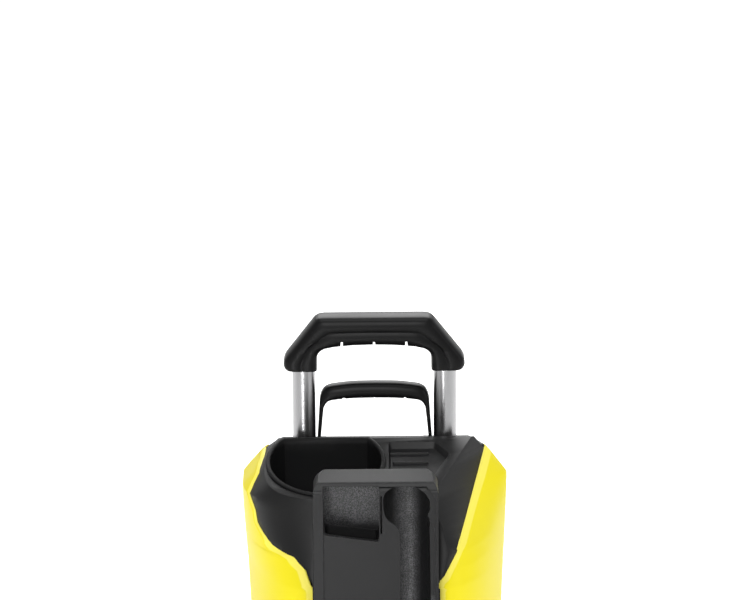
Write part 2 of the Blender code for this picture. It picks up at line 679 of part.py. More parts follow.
def make_carry_handle():
    foot = SHELF_Z + GAP
    side = CARRY_TOP - 18
    outer = [(CARRY_HALF_WIDTH, foot), (CARRY_TOP_HALF_WIDTH + 1.5, side),
             (CARRY_TOP_HALF_WIDTH - 3, CARRY_TOP - 8), (CARRY_TOP_HALF_WIDTH - 11, CARRY_TOP - 2), (20, CARRY_TOP)]
    leg = CARRY_LEG
    under = CARRY_TOP - CARRY_BAR
    inner = [(18, under), (CARRY_TOP_HALF_WIDTH - 12, under - 1.5), (CARRY_TOP_HALF_WIDTH - leg, side - 10),
             (CARRY_HALF_WIDTH - leg - 0.4, foot + 4), (CARRY_HALF_WIDTH - 16, foot + 4), (CARRY_HALF_WIDTH - 16, foot)]
    outline = outer + mirrored(outer) + [(-x, z) for x, z in inner[::-1]] + inner
    low, high = CARRY_Y - CARRY_DEPTH / 2, CARRY_Y + CARRY_DEPTH / 2
    handle = prism("carry_handle", outline, low, high, "Y")
    bevelled(handle, 1.2, 1)
    for k in (-1, 0, 1):
        cut(handle, rod("finger", 3.2, (k * FINGER_PITCH * 0.95, low - 5, under - 2.4),
                        (k * FINGER_PITCH * 0.95, high + 5, under - 2.4), 12))
    finished(handle, BLACK, 0.4)


# --- telescopic handle --------------------------------------------------------

def make_transport_handle():
    low, high = TUBE_Y - GRIP_DEPTH / 2, TUBE_Y + GRIP_DEPTH / 2
    foot = GRIP_TOP - GRIP_HEIGHT
    under = GRIP_TOP - GRIP_BAR
    wide, opening = GRIP_HALF_WIDTH, GRIP_HALF_OPENING
    outer = [(wide - 5, foot), (wide - 1.4, foot + 1.6), (wide, foot + 8), (wide - 3, foot + 16),
             (opening + 0.5, GRIP_TOP - 1.5), (opening - 4, GRIP_TOP)]
    inner = [(20, under), (opening - 16, under - 3.2), (opening - 6, under - 7), (opening - 1, under - 13), (opening, foot)]
    outline = outer + mirrored(outer) + [(-x, z) for x, z in inner[::-1]] + inner
    grip = bevelled(prism("handle_grip", outline, low, high, "Y"), 4, 2, 50)
    for side in (-1, 1):
        cut(grip, rod("tube_seat", TUBE_RADIUS + GAP, (side * TUBE_X, TUBE_Y, foot - 10),
                      (side * TUBE_X, TUBE_Y, foot + 14.5)))
    band = [(-opening + 17, under - 30), (opening - 17, under - 30), (opening - 17, under + INSERT_BAR - 4),
            (20, under + INSERT_BAR), (-20, under + INSERT_BAR), (-opening + 17, under + INSERT_BAR - 4)]
    insert = copy_of(grip, "grip_insert")
    keep(insert, prism("insert_zone", band, low + 4, high - 4, "Y"))
    room = [(x * 1.01, z + GAP) for x, z in band]
    cut(grip, prism("insert_room", room, low + 4 - GAP, high - 4 + GAP, "Y"))
    for k in (-1, 0, 1):
        cut(insert, rod("finger", 3.6, (k * FINGER_PITCH, low - 5, under - 2.6), (k * FINGER_PITCH, high + 5, under - 2.6), 12))
    finished(grip, BLACK, 0.38)
    finished(insert, DARK_GREY, 0.6)
    for side, hand in ((1, "right"), (-1, "left")):
        centre = (side * TUBE_X, TUBE_Y, 0)
        tube = ring(hand + "_tube", TUBE_RADIUS - TUBE_WALL, TUBE_RADIUS, TUBE_FOOT_Z + 12, foot + 14, centre)
        finished(tube, ALUMINIUM, 0.3, 1.0)
        plug = turned(hand + "_tube_foot", (
            (0, TUBE_FOOT_Z), (GUIDE_RADIUS - 1.5, TUBE_FOOT_Z), (GUIDE_RADIUS - RUNNING, TUBE_FOOT_Z + 2),
            (GUIDE_RADIUS - RUNNING, TUBE_FOOT_Z + 11.6), (TUBE_RADIUS - TUBE_WALL - GAP, TUBE_FOOT_Z + 11.6),
            (TUBE_RADIUS - TUBE_WALL - GAP, TUBE_FOOT_Z + 28), (0, TUBE_FOOT_Z + 28),
        ), centre, sides=24)
        finished(plug, DARK_GREY, 0.5)
        bush_foot = SHELF_Z - SHELL - 0.6 - BUSH_HEIGHT
        bush = ring(hand + "_guide_bush", TUBE_RADIUS + RUNNING, GUIDE_RADIUS + GUIDE_WALL, bush_foot, bush_foot + BUSH_HEIGHT, centre)
        finished(bush, WHITE, 0.4)
        guide = ring(hand + "_guide_tube", GUIDE_RADIUS, GUIDE_RADIUS + GUIDE_WALL, 28.4, bush_foot - GAP, centre)
        finished(guide, DARK_GREY, 0.5)


# --- motor and pump -----------------------------------------------------------

def make_motor():
    centre = (0, MOTOR_Y, 0)
    outer, inner = MOTOR_RADIUS, MOTOR_RADIUS - MOTOR_WALL
    boss = BEARING_RADIUS + GAP
    housing = turned("motor_housing", (
        (inner, MOTOR_FOOT), (outer, MOTOR_FOOT), (outer, MOTOR_TOP - 6), (outer - 8, MOTOR_TOP), (boss, MOTOR_TOP),
        (boss, MOTOR_TOP - 22), (boss + 5, MOTOR_TOP - 22), (boss + 5, MOTOR_TOP - MOTOR_WALL),
        (inner - 6, MOTOR_TOP - MOTOR_WALL), (inner, MOTOR_TOP - 8),
    ), centre, sides=36)
    finished(housing, DARK_GREY, 0.5)
    stator = turned("stator", ((ROTOR_RADIUS + 0.8, 202), (36, 196), (46, 196), (inner - GAP, 204),
                               (inner - GAP, 272), (46, 280), (36, 280), (ROTOR_RADIUS + 0.8, 274)), centre)
    finished(stator, COPPER, 0.4, 0.8)
    rotor = turned("rotor", ((0, 134), (SHAFT_RADIUS, 134), (SHAFT_RADIUS, 186), (ROTOR_RADIUS, 204),
                             (ROTOR_RADIUS, 272), (SHAFT_RADIUS, 276), (SHAFT_RADIUS, MOTOR_TOP - 8), (0, MOTOR_TOP - 8)), centre)
    finished(rotor, STEEL, 0.35, 1.0, pivot=centre)
    fan = turned("fan", ((SHAFT_RADIUS + GAP, 282), (FAN_RADIUS, 282), (FAN_RADIUS, 284), (12, 284), (12, 296), (SHAFT_RADIUS + GAP, 296)), centre)
    for k in range(7):
        blade = box("blade", (10, -1, 283), (FAN_RADIUS - 2, 1, 294))
        blade.data.transform(Matrix.Rotation(2 * math.pi * k / 7, 4, "Z"))
        blade.data.transform(Matrix.Translation(Vector(centre) * METRES))
        join(fan, blade)
    finished(fan, WHITE, 0.5, pivot=centre)
    for name, low in (("upper_bearing", MOTOR_TOP - 21), ("lower_bearing", 162)):
        bearing = ring(name, SHAFT_RADIUS + RUNNING, BEARING_RADIUS, low, low + 9, centre, sides=24)
        finished(bearing, STEEL, 0.25, 1.0)


def make_pump():
    centre = (0, MOTOR_Y, 0)
    outer, inner = PUMP_RADIUS + 6, PUMP_RADIUS
    top = MOTOR_FOOT - GAP
    gearbox = turned("gear_housing", (
        (inner, BLOCK_TOP + GAP), (outer, BLOCK_TOP + GAP), (outer, top), (BEARING_RADIUS + GAP, top),
        (BEARING_RADIUS + GAP, top - 11), (inner - 4, top - 11), (inner, top - 15),
    ), centre, sides=36)
    finished(gearbox, ALUMINIUM, 0.5, 1.0)
    low_point = PISTON_TOP + 1
    swash = rod("swash_plate", 40, (0, MOTOR_Y, low_point - 4), (0, MOTOR_Y, 150), 32)
    slope = math.tan(SWASH_TILT)
    wedge = prism("wedge", ((-60, 100), (60, 100), (60, low_point + 100 * slope), (-60, low_point - 20 * slope)), -60, 60, "Y")
    cut(swash, wedge)
    cut(swash, rod("shaft_hole", SHAFT_RADIUS + GAP, (0, MOTOR_Y, 100), (0, MOTOR_Y, 200)))
    finished(swash, STEEL, 0.3, 1.0, pivot=centre)
    block = rod("cylinder_block", PUMP_RADIUS, (0, MOTOR_Y, BLOCK_FOOT), (0, MOTOR_Y, BLOCK_TOP), 36)
    for k, name in enumerate(("piston_front", "piston_left", "piston_right")):
        angle = math.radians(-90 - 120 * k)
        spot = Vector((PISTON_CIRCLE * math.cos(angle), MOTOR_Y + PISTON_CIRCLE * math.sin(angle), 0))
        cut(block, rod("bore", PISTON_RADIUS + RUNNING, spot + Vector((0, 0, 40)), spot + Vector((0, 0, 140)), 18))
        piston = turned(name, ((0, PISTON_TOP - PISTON_LENGTH), (PISTON_RADIUS, PISTON_TOP - PISTON_LENGTH),
                               (PISTON_RADIUS, PISTON_TOP - 4), (PISTON_RADIUS + 2, PISTON_TOP - 4),
                               (PISTON_RADIUS + 2, PISTON_TOP - 1), (0, PISTON_TOP)), spot, sides=20)
        finished(piston, STEEL, 0.2, 1.0, pivot=spot)
    finished(block, BRASS, 0.35, 1.0)
    head = rod("valve_head", PUMP_RADIUS, (0, MOTOR_Y, HEAD_FOOT), (0, MOTOR_Y, BLOCK_FOOT - GAP), 36)
    port_z = (HEAD_FOOT + BLOCK_FOOT) / 2
    join(head, rod("inlet_port", 7, (-30, MOTOR_Y + 20, port_z), (-30, MOTOR_Y + 52, port_z), 20))
    join(head, rod("outlet_port", 7, (OUTLET_X, MOTOR_Y - 20, port_z), (OUTLET_X, MOTOR_Y - 52, port_z), 20))
    join(head, rod("suction_port", 5, (-30, MOTOR_Y, port_z), (-60, MOTOR_Y, port_z), 16))
    finished(head, BRASS, 0.4, 1.0)
    valve = turned("unloader_valve", ((0, 0), (9, 0), (9, 16), (6, 18), (6, 30), (0, 30)),
                   (PUMP_RADIUS + GAP, MOTOR_Y, port_z), (1, 0, 0), 20)
    finished(valve, STEEL, 0.35, 1.0)


def pipe(name, points, radius, colour):
    """A hose that runs on a smooth curve through its points, with closed ends."""
    curve = bpy.data.curves.new(name, "CURVE")
    curve.dimensions = "3D"
    curve.bevel_depth = radius * METRES
    curve.bevel_resolution = 1
    curve.use_fill_caps = True
    line = curve.splines.new("POLY")
    smooth = spline_points([Vector(p) for p in points], 4)
    line.points.add(len(smooth) - 1)
    for spot, point in zip(line.points, smooth):
        spot.co = (*(point * METRES), 1)
    obj = bpy.data.objects.new(name, curve)
    bpy.context.scene.collection.objects.link(obj)
    graph = bpy.context.evaluated_depsgraph_get()
    mesh = bpy.data.meshes.new_from_object(obj.evaluated_get(graph))
    bpy.data.objects.remove(obj)
    bm = bmesh.new()
    bm.from_mesh(mesh)
    bmesh.ops.remove_doubles(bm, verts=bm.verts, dist=1e-6)
    bmesh.ops.recalc_face_normals(bm, faces=bm.faces)
    bm.to_mesh(mesh)
    bm.free()
    solid = bpy.data.objects.new(name, mesh)
    bpy.context.scene.collection.objects.link(solid)
    return finished(solid, colour, 0.6)


def spline_points(points, steps):
    """A Catmull-Rom curve through the points."""
    ends = [2 * points[0] - points[1], *points, 2 * points[-1] - points[-2]]
    made = [points[0]]
    for a, b, c, d in zip(ends, ends[1:], ends[2:], ends[3:]):
        for i in range(1, steps + 1):
            t = i / steps
            made.append(0.5 * (2 * b + (c - a) * t + (2 * a - 5 * b + 4 * c - d) * t * t
                               + (3 * b - a - 3 * c + d) * t ** 3))
    return made


def make_water_and_power():
    port_z = (HEAD_FOOT + BLOCK_FOOT) / 2
    inlet = turned("water_inlet", ((7, -16), (10, -16), (10, -4.2), (14, -4.2), (14, SHELL + GAP), (18, SHELL + GAP), (18, 6.5), (11, 7),
                                   (9.5, 12), (11, 16), (11, 24), (9.5, 26), (7, 26)),
                   (INLET_X, CASING_REAR - SHELL, INLET_Z), (0, 1, 0), 28)
    finished(inlet, DARK_GREY, 0.35)
    sieve = turned("inlet_filter", ((0, -8), (5, -8), (6.2, 14), (6.2, 20), (0, 20)),
                   (INLET_X, CASING_REAR - SHELL, INLET_Z), (0, 1, 0), 16)
    finished(sieve, STEEL, 0.4, 0.6)
    seat = console_point(OUTLET_X, OUTLET_Z, 0)
    outlet = turned("pressure_outlet", ((7, -14), (OUTLET_RADIUS - 4, -14), (OUTLET_RADIUS, -10), (OUTLET_RADIUS, GAP), (21, GAP), (21, 5), (18, 8),
                                        (16, 24), (12, 24), (12, 4), (7, 2)), seat, console_normal(), 32)
    join(outlet, console_box("lock_housing", (-10, 15, 2), (10, 27, 17), seat))
    cut(outlet, console_box("lock_pocket", (-7, 20, 5.5), (7, 40, 13.5), seat))
    finished(outlet, DARK_GREY, 0.35)
    lock = console_box("outlet_lock", (-6.6, 23.4, 5.9), (6.6, 31, 13.1), seat)
    finished(lock, YELLOW, 0.4, pivot=seat)
    knob_seat = console_point(KNOB_X, KNOB_Z, 0)
    knob = turned("switch_knob", ((0, -14), (SHAFT_RADIUS, -14), (SHAFT_RADIUS, 1.2), (KNOB_RADIUS, 1.2),
                                  (KNOB_RADIUS, 6), (KNOB_RADIUS - 3, 8), (0, 8)), knob_seat, console_normal(), 36)
    reach = KNOB_RADIUS - 3
    join(knob, console_box("blade", (-5, -reach, 6), (5, reach, KNOB_HEIGHT), knob_seat))
    finished(knob, YELLOW, 0.4, pivot=knob_seat)
    switch = console_box("switch_block", (-16, -16, -48), (16, 16, -SHELL - 1), knob_seat)
    cut(switch, rod("shaft_bore", SHAFT_RADIUS + GAP, console_point(KNOB_X, KNOB_Z, -15),
                    console_point(KNOB_X, KNOB_Z, 0)))
    finished(switch, DARK_GREY, 0.5)
    finished(rod("capacitor", 17, (88, -40, 28.4), (88, -40, 98.4), 24), WHITE, 0.4)
    gland = turned("cable_gland", ((4, -10), (7, -10), (9, -8), (9, SHELL + GAP), (13, SHELL + GAP), (13, 6), (9, 8), (6.5, 30), (4, 30)),
                   (GLAND_X, CASING_REAR - SHELL, GLAND_Z), (0, 1, 0), 24)
    finished(gland, BLACK, 0.6)
    inlet_end = CASING_REAR - SHELL - 17
    pipe("inlet_pipe", (
        (INLET_X, inlet_end, INLET_Z), (INLET_X, inlet_end - 12, INLET_Z), (INLET_X, inlet_end - 22, INLET_Z - 30),
        (INLET_X + 4, inlet_end - 18, INLET_Z - 70), (-32, MOTOR_Y + 68, port_z + 4),
        (-30, MOTOR_Y + 60, port_z), (-30, MOTOR_Y + 52.8, port_z),
    ), 6, BLACK)
    outlet_end = console_point(OUTLET_X, OUTLET_Z, -14.6)
    pipe("outlet_pipe", (
        outlet_end, outlet_end + console_normal() * -12, (OUTLET_X, -95, 100), (OUTLET_X, -76, 62),
        (OUTLET_X, MOTOR_Y - 62, port_z), (OUTLET_X, MOTOR_Y - 52.8, port_z),
    ), 5.5, STEEL)
    pipe("detergent_hose", (
        (CUP_X, CUP_Y, CUP_FLOOR_Z - 15), (CUP_X, CUP_Y, CUP_FLOOR_Z - 20), (CUP_X - 10, CUP_Y + 1, CUP_FLOOR_Z - 30), (-80, CUP_Y, 290),
        (-92, CUP_Y - 6, 220), (-90, 6, 120), (-80, MOTOR_Y, 62), (-70, MOTOR_Y, port_z), (-60.8, MOTOR_Y, port_z),
    ), 4, RUBBER)


def hook_outline(root_y, low, high, reach, thick, tip):
    """A J-shaped hook seen from the side, as (y, z): plate, arm and raised tip."""
    end = root_y + reach
    return [(root_y, low), (end - thick * 0.6, low), *arc((end - thick, low + thick), thick, -70, 0, 3),
            (end, low + tip), (end - thick * 0.8, low + tip), (end - thick * 0.9, low + thick * 1.3),
            (root_y + thick * 1.3, low + thick * 1.3), (root_y + thick * 0.7, low + thick * 2), (root_y + thick * 0.6, high), (root_y, high)]


def make_hooks():
    root = CASING_REAR + GAP
    finished(bevelled(prism("hose_hook", hook_outline(root, 318, 402, 190 - root, 10, 44), -34, 34, "X"), 1.5, 1), BLACK, 0.5)
    lower = [(y, 2 * 120 - z) for y, z in hook_outline(root, 96, 150, 44, 7, 30)]
    finished(bevelled(prism("cord_hook_lower", lower, -14, 14, "X"), 1.2, 1), BLACK, 0.5)
    upper = prism("cord_hook_upper", hook_outline(root + 7.5, 262, 278, 36.5, 7, 30), -14, 14, "X")
    bevelled(upper, 1.2, 1)
    join(upper, rod("swivel_base", 17, (0, root + 1.2, 268), (0, root + 9, 268), 28))
    finished(upper, BLACK, 0.5, pivot=(0, root, 268))


def main():
    for obj in list(bpy.data.objects):
        bpy.data.objects.remove(obj, do_unlink=True)
    shell = casing_shell()
    make_side_shells(shell)
    make_deck_cover(shell)
    make_lower_front_cover(shell)
    make_rear_cover(shell)
    bpy.data.objects.remove(shell)
    make_base()
    make_wheels()
    make_bottle_cup()
    make_accessory_holder()
    make_carry_handle()
    make_transport_handle()
    make_motor()
    make_pump()
    make_water_and_power()
    make_hooks()


main()
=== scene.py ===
"""Looks of an upright pressure washer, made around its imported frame.

Lengths in the piece functions are millimetres; mesh_from() turns them into metres.
+Z is up, the front faces -Y and +X is the machine's right seen from the front.
"""

import math

import bmesh
import bpy
from bpy.props import FloatProperty, FloatVectorProperty, PointerProperty
from mathutils import Matrix, Vector


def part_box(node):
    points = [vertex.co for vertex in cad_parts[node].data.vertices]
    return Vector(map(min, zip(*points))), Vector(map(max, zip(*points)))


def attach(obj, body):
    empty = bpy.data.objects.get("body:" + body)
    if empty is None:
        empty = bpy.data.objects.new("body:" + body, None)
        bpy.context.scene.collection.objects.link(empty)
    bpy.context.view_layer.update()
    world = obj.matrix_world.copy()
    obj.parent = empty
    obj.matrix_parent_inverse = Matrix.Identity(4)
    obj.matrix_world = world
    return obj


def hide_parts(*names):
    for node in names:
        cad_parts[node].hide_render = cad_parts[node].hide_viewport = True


bl_info = {
    "name": "Pressure washer looks",
    "version": (1, 0, 0),
    "blender": (4, 5, 0),
    "location": "3D View > Sidebar > Washer",
    "description": "Finer pieces and finishes for an upright pressure washer",
    "category": "Object",
}

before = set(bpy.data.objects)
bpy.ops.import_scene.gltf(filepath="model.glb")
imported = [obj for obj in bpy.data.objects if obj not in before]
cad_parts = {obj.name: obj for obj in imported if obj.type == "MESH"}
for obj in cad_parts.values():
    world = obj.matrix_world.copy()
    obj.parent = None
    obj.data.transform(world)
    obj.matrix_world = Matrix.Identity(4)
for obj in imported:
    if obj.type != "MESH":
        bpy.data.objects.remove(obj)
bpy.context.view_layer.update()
METRES = 0.001


def node_box(name):
    """A CAD node's lowest and highest corner in millimetres."""
    low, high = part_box(name)
    return Vector(low) / METRES, Vector(high) / METRES


# --- sizes shared by several pieces, as the frame has them ---------------------
BODY_FOOT_Z = 38.0
CREST_Y = 65.0
CREST_Z = 448.0
DECK_SLOPE = 0.2755
SHELF_Z = 436.0
CASING_REAR = 115.0
DECK_REAR = 72.3
SIDE_REAR = 88.0
SEAM_X = 69.3
PANEL_TOP = 431.8
CONSOLE_TOP = 232.0
COVER_WALL = 2.4
CHANNEL_X, CHANNEL_RADIUS, CHANNEL_FLOOR_Z = 33.1, 25.2, 262.0
TUBE_LOW, TUBE_HIGH = node_box("right_tube")
TUBE_RADIUS = (TUBE_HIGH.x - TUBE_LOW.x) / 2
TUBE_X = (TUBE_HIGH.x + TUBE_LOW.x) / 2
TUBE_Y = (TUBE_HIGH.y + TUBE_LOW.y) / 2
WHEEL_LOW, WHEEL_HIGH = node_box("right_wheel")
WHEEL_RADIUS = (WHEEL_HIGH.z - WHEEL_LOW.z) / 2
WHEEL_Y = (WHEEL_HIGH.y + WHEEL_LOW.y) / 2
ARCH_RADIUS = 92.0
ARCH_X = 115.0
CUP_X, CUP_Y, CUP_RADIUS, CUP_FLAT_Y, CUP_FLOOR_Z = -54.0, 18.0, 61.0, 58.5, 340.0

# Casing stations from the top down: height, front y, half width, narrower at the
# rear, then for the right half: flat front, seam x and y, where the side begins
# and the corner's fullness; then for the left: width, flat, side start and turn.
STATIONS = (
    (470, -50, 99.5, 8, 27, 99.0, 75, 76, 0.50, 92, 54, 20, 0.97),
    (448, -50, 113.0, 8, 40, 112.6, 75, 76, 0.50, 105, 54, 20, 0.97),
    (432, -51, 122.6, 8, 50, 122.3, 75, 76, 0.50, 122.6, 54, 22, 0.97),
    (408, -54, 143.4, 8, 62, 111.5, 31, 62, 0.50, 143.4, 54, 26, 0.96),
    (385, -60, 142.6, 3, 72, 101.0, -11, 55, 0.44, 142.6, 54, 28, 0.95),
    (358, -70, 141.0, 0, 79, 88.5, -60, 48, 0.30, 141.0, 54, 30, 0.92),
    (342, -76, 140.0, 0, 74, 78.5, -73, 40, 0.15, 140.0, 58, 30, 0.88),
    (324, -83, 138.5, 0, 66, SEAM_X, -83, 30, 0.04, 138.5, 64, 30, 0.85),
    (275, -92, 135.6, 0, 66, SEAM_X, -92, 10, 0.04, 135.6, 66, 10, 0.84),
    (200, -112, 135.0, 0, 66, SEAM_X, -112, -15, 0.04, 135.0, 66, -15, 0.84),
    (130, -140, 135.0, 0, 66, SEAM_X, -140, -45, 0.04, 135.0, 66, -45, 0.84),
    (38, -165, 134.0, 0, 66, SEAM_X, -165, -78, 0.04, 134.0, 66, -78, 0.84),
)
RIGHT_SEAM = ((75, PANEL_TOP), (31, 408), (-11, 385), (-60, 358), (-73, 342), (-84, 324))
LEFT_SEAM = ((75, PANEL_TOP), (49, 430.5), (11, 424), (-18, 393), (-21.5, 380), (-31, 372), (-45, 362),
             (-57, 357), (-64, 354), (-73, 342), (-83.5, 322))


# --- meshes --------------------------------------------------------------------

def mesh_from(name, points, faces, split=False):
    """A closed mesh from points in millimetres, faces pointing out."""
    mesh = bpy.data.meshes.new(name)
    mesh.from_pydata([Vector(p) * METRES for p in points], [], faces)
    shape = bmesh.new()
    shape.from_mesh(mesh)
    bmesh.ops.remove_doubles(shape, verts=shape.verts, dist=1e-6)
    if split:
        bmesh.ops.triangulate(shape, faces=shape.faces)
    bmesh.ops.recalc_face_normals(shape, faces=shape.faces)
    shape.to_mesh(mesh)
    shape.free()
    obj = bpy.data.objects.new(name, mesh)
    bpy.context.scene.collection.objects.link(obj)
    return obj


def loft(name, rings, split=False):
    """Skins rings of the same number of points and caps both ends."""
    count = len(rings[0])
    faces = [
        (r * count + i, r * count + (i + 1) % count,
         (r + 1) * count + (i + 1) % count, (r + 1) * count + i)
        for r in range(len(rings) - 1) for i in range(count)
    ]
    last = (len(rings) - 1) * count
    faces += [tuple(range(count)), tuple(range(last, last + count))]
    return mesh_from(name, [p for ring in rings for p in ring], faces, split)


def sheet_grid(name, rows, thickness, marks=None):
    """An open grid of points, thickened inwards by a Solidify modifier into a closed wall.

    marks holds a number for every point, stored as the attribute "chamfer"; the yellow finish paints the
    marked band lighter as a painted highlight."""
    count = len(rows[0])
    faces = [(r * count + i, r * count + i + 1, (r + 1) * count + i + 1, (r + 1) * count + i)
             for r in range(len(rows) - 1) for i in range(count - 1)]
    mesh = bpy.data.meshes.new(name)
    mesh.from_pydata([Vector(p) * METRES for row in rows for p in row], [], faces)
    if marks:
        mesh.attributes.new("chamfer", "FLOAT", "POINT").data.foreach_set("value", marks)
    obj = bpy.data.objects.new(name, mesh)
    bpy.context.scene.collection.objects.link(obj)
    wall = obj.modifiers.new("wall", "SOLIDIFY")
    wall.thickness = thickness * METRES
    wall.offset = -1
    return applied(obj)


def prism(name, outline, low, high, along="Z"):
    """A flat outline pushed along an axis: (y, z) along X, (x, z) along Y, (x, y) along Z."""
    place = {
        "X": lambda p, h: (h, p[0], p[1]),
        "Y": lambda p, h: (p[0], h, p[1]),
        "Z": lambda p, h: (p[0], p[1], h),
    }[along]
    return loft(name, [[place(p, h) for p in outline] for h in (low, high)])


def box(name, low, high):
    outline = ((low[0], low[1]), (high[0], low[1]), (high[0], high[1]), (low[0], high[1]))
    return prism(name, outline, low[2], high[2])


def turned(name, profile, centre=(0, 0, 0), along=(0, 0, 1), sides=64):
    """A closed profile of (radius, height) turned about an axis through centre."""
    turn = Vector((0, 0, 1)).rotation_difference(Vector(along)).to_matrix()
    centre = Vector(centre)
    points, faces, rows = [], [], []
    for radius, height in profile:
        if radius < 1e-6:
            rows.append([len(points)])
            points.append(centre + turn @ Vector((0, 0, height)))
            continue
        rows.append(list(range(len(points), len(points) + sides)))
        for i in range(sides):
            angle = 2 * math.pi * i / sides
            spot = Vector((radius * math.cos(angle), radius * math.sin(angle), height))
            points.append(centre + turn @ spot)
    for a, b in zip(rows, rows[1:] + rows[:1]):
        for i in range(sides):
            j = (i + 1) % sides
            if len(a) == 1 and len(b) == 1:
                break
            if len(a) == 1:
                faces.append((a[0], b[i], b[j]))
            elif len(b) == 1:
                faces.append((a[i], b[0], a[j]))
            else:
                faces.append((a[i], b[i], b[j], a[j]))
    return mesh_from(name, points, faces)


def rod(name, radius, start, end, sides=64):
    start, end = Vector(start), Vector(end)
    length = (end - start).length
    return turned(name, ((0, 0), (radius, 0), (radius, length), (0, length)), start, end - start, sides)


def applied(obj):
    """Turns the object, as its modifiers make it, into a plain mesh."""
    graph = bpy.context.evaluated_depsgraph_get()
    obj.data = bpy.data.meshes.new_from_object(obj.evaluated_get(graph))
    obj.modifiers.clear()
    return obj


def combine(obj, other, operation):
    modifier = obj.modifiers.new(operation, "BOOLEAN")
    modifier.operation = operation
    modifier.object = other
    applied(obj)
    bpy.data.objects.remove(other)
    return obj


def cut(obj, *tools):
    for tool in tools:
        combine(obj, tool, "DIFFERENCE")
    return obj


def join(obj, *others):
    for other in others:
        combine(obj, other, "UNION")
    return obj


def keep(obj, region):
    return combine(obj, region, "INTERSECT")


def copy_of(obj, name):
    twin = bpy.data.objects.new(name, obj.data.copy())
    bpy.context.scene.collection.objects.link(twin)
    return twin


def bevelled(obj, width, segments=2, angle=35):
    """Rounds the edges sharper than an angle."""
    modifier = obj.modifiers.new("edges", "BEVEL")
    modifier.width = width * METRES
    modifier.segments = segments
    modifier.limit_method = "ANGLE"
    modifier.angle_limit = math.radians(angle)
    modifier.miter_outer = "MITER_ARC"
    modifier.harden_normals = False
    return applied(obj)


def welded(obj, distance=0.02):
    shape = bmesh.new()
    shape.from_mesh(obj.data)
    bmesh.ops.remove_doubles(shape, verts=shape.verts, dist=distance * METRES)
    bmesh.ops.dissolve_degenerate(shape, edges=shape.edges, dist=distance * METRES)
    shape.to_mesh(obj.data)
    shape.free()
    return obj


def smooth(obj, angle=30):
    obj.data.shade_smooth()
    obj.data.set_sharp_from_angle(angle=math.radians(angle))
    return obj


def weighted(obj):
    """Lets large flats keep their own shading beside small curved faces."""
    obj.modifiers.new("normals", "WEIGHTED_NORMAL").keep_sharp = True
    return applied(obj)


def arc(centre, radius, start, end, steps):
    """Points on an arc, in degrees."""
    return [
        (centre[0] + radius * math.cos(math.radians(start + (end - start) * i / steps)),
         centre[1] + radius * math.sin(math.radians(start + (end - start) * i / steps)))
        for i in range(steps + 1)
    ]


def mirrored(points):
    return [(-x, y) for x, y in reversed(points)]


def rounded(outline, radius, steps=5):
    """Rounds every corner of a closed outline; a radius may be given for each corner."""
    radii = radius if isinstance(radius, (list, tuple)) else [radius] * len(outline)
    count, made = len(outline), []
    for i in range(count):
        before, here, after = (Vector(outline[(i + k) % count]) for k in (-1, 0, 1))
        back, on = before - here, after - here
        reach = min(radii[i], 0.45 * back.length, 0.45 * on.length)
        if reach < 0.05:
            made.append(tuple(here))
            continue
        start, end = here + back.normalized() * reach, here + on.normalized() * reach
        for k in range(steps + 1):
            t = k / steps
            made.append(tuple(start * (1 - t) ** 2 + here * (2 * t * (1 - t)) + end * t ** 2))
    return made


def smooth_path(points, steps):
    """A Catmull-Rom curve through points of any dimension."""
    points = [Vector(p) for p in points]
    ends = [2 * points[0] - points[1], *points, 2 * points[-1] - points[-2]]
    made = [tuple(points[0])]
    for a, b, c, d in zip(ends, ends[1:], ends[2:], ends[3:]):
        for i in range(1, steps + 1):
            t = i / steps
            made.append(tuple(0.5 * (2 * b + (c - a) * t + (2 * a - 5 * b + 4 * c - d) * t * t
                                     + (3 * b - a - 3 * c + d) * t ** 3)))
    return made


def between(table, key):
    """Reads values from rows of (key, value, ...) that fall in key, with straight runs."""
    rows = list(table)
    if key >= rows[0][0]:
        return rows[0][1:]
    for high, low in zip(rows, rows[1:]):
        if key >= low[0]:
            share = (key - low[0]) / (high[0] - low[0])
            return tuple(b + (a - b) * share for a, b in zip(high[1:], low[1:]))
    return rows[-1][1:]


# --- the casing's form ---------------------------------------------------------

def deck_z(y):
    return CREST_Z - DECK_SLOPE * (CREST_Y - y)


def front_y(z):
    return between([row[:2] for row in STATIONS], z)[0]


def bezier(start, corner, end, count):
    """Points strictly between start and end on a curve that turns at corner."""
    return [tuple((1 - t) ** 2 * a + 2 * t * (1 - t) * b + t ** 2 * c
                  for a, b, c in zip(start, corner, end))
            for t in ((i + 1) / (count + 1) for i in range(count))]


def half_ring(z, side, count=18):
    """Half of the casing's outline at a height, from the middle front to the middle rear."""
    (front, width, taper, flat, seam_x, seam_y, start_y, fullness,
     left_width, left_flat, left_start, share) = between(STATIONS, z)
    if side > 0:
        seam, corner = (seam_x, seam_y), (width, start_y)
        turn = (seam_x + 0.62 * (width - seam_x), seam_y + fullness * (start_y - seam_y))
        line = [(0, front), (flat, front), seam, *bezier(seam, turn, corner, count), corner]
    else:
        width, corner = left_width, (left_width, left_start)
        line = [(0, front), (left_flat, front),
                *bezier((left_flat, front), (share * width, front), corner, count),
                corner, (width, CREST_Y + 10)]
    line += [(width - taper, SIDE_REAR + 5), (width - 2 - 1.1 * taper, CASING_REAR - 16),
             (width - 7 - 1.2 * taper, CASING_REAR - 7), (width - 20 - 1.2 * taper, CASING_REAR),
             (0, CASING_REAR)]
    return [(side * x, y) for x, y in line]


def casing_levels(step=6.0):
    """Heights for a fine casing: every station and steps between them."""
    levels = []
    for high, low in zip(STATIONS, STATIONS[1:]):
        parts = max(1, round((high[0] - low[0]) / step))
        levels += [high[0] + (low[0] - high[0]) * i / parts for i in range(parts)]
    return levels + [STATIONS[-1][0]]


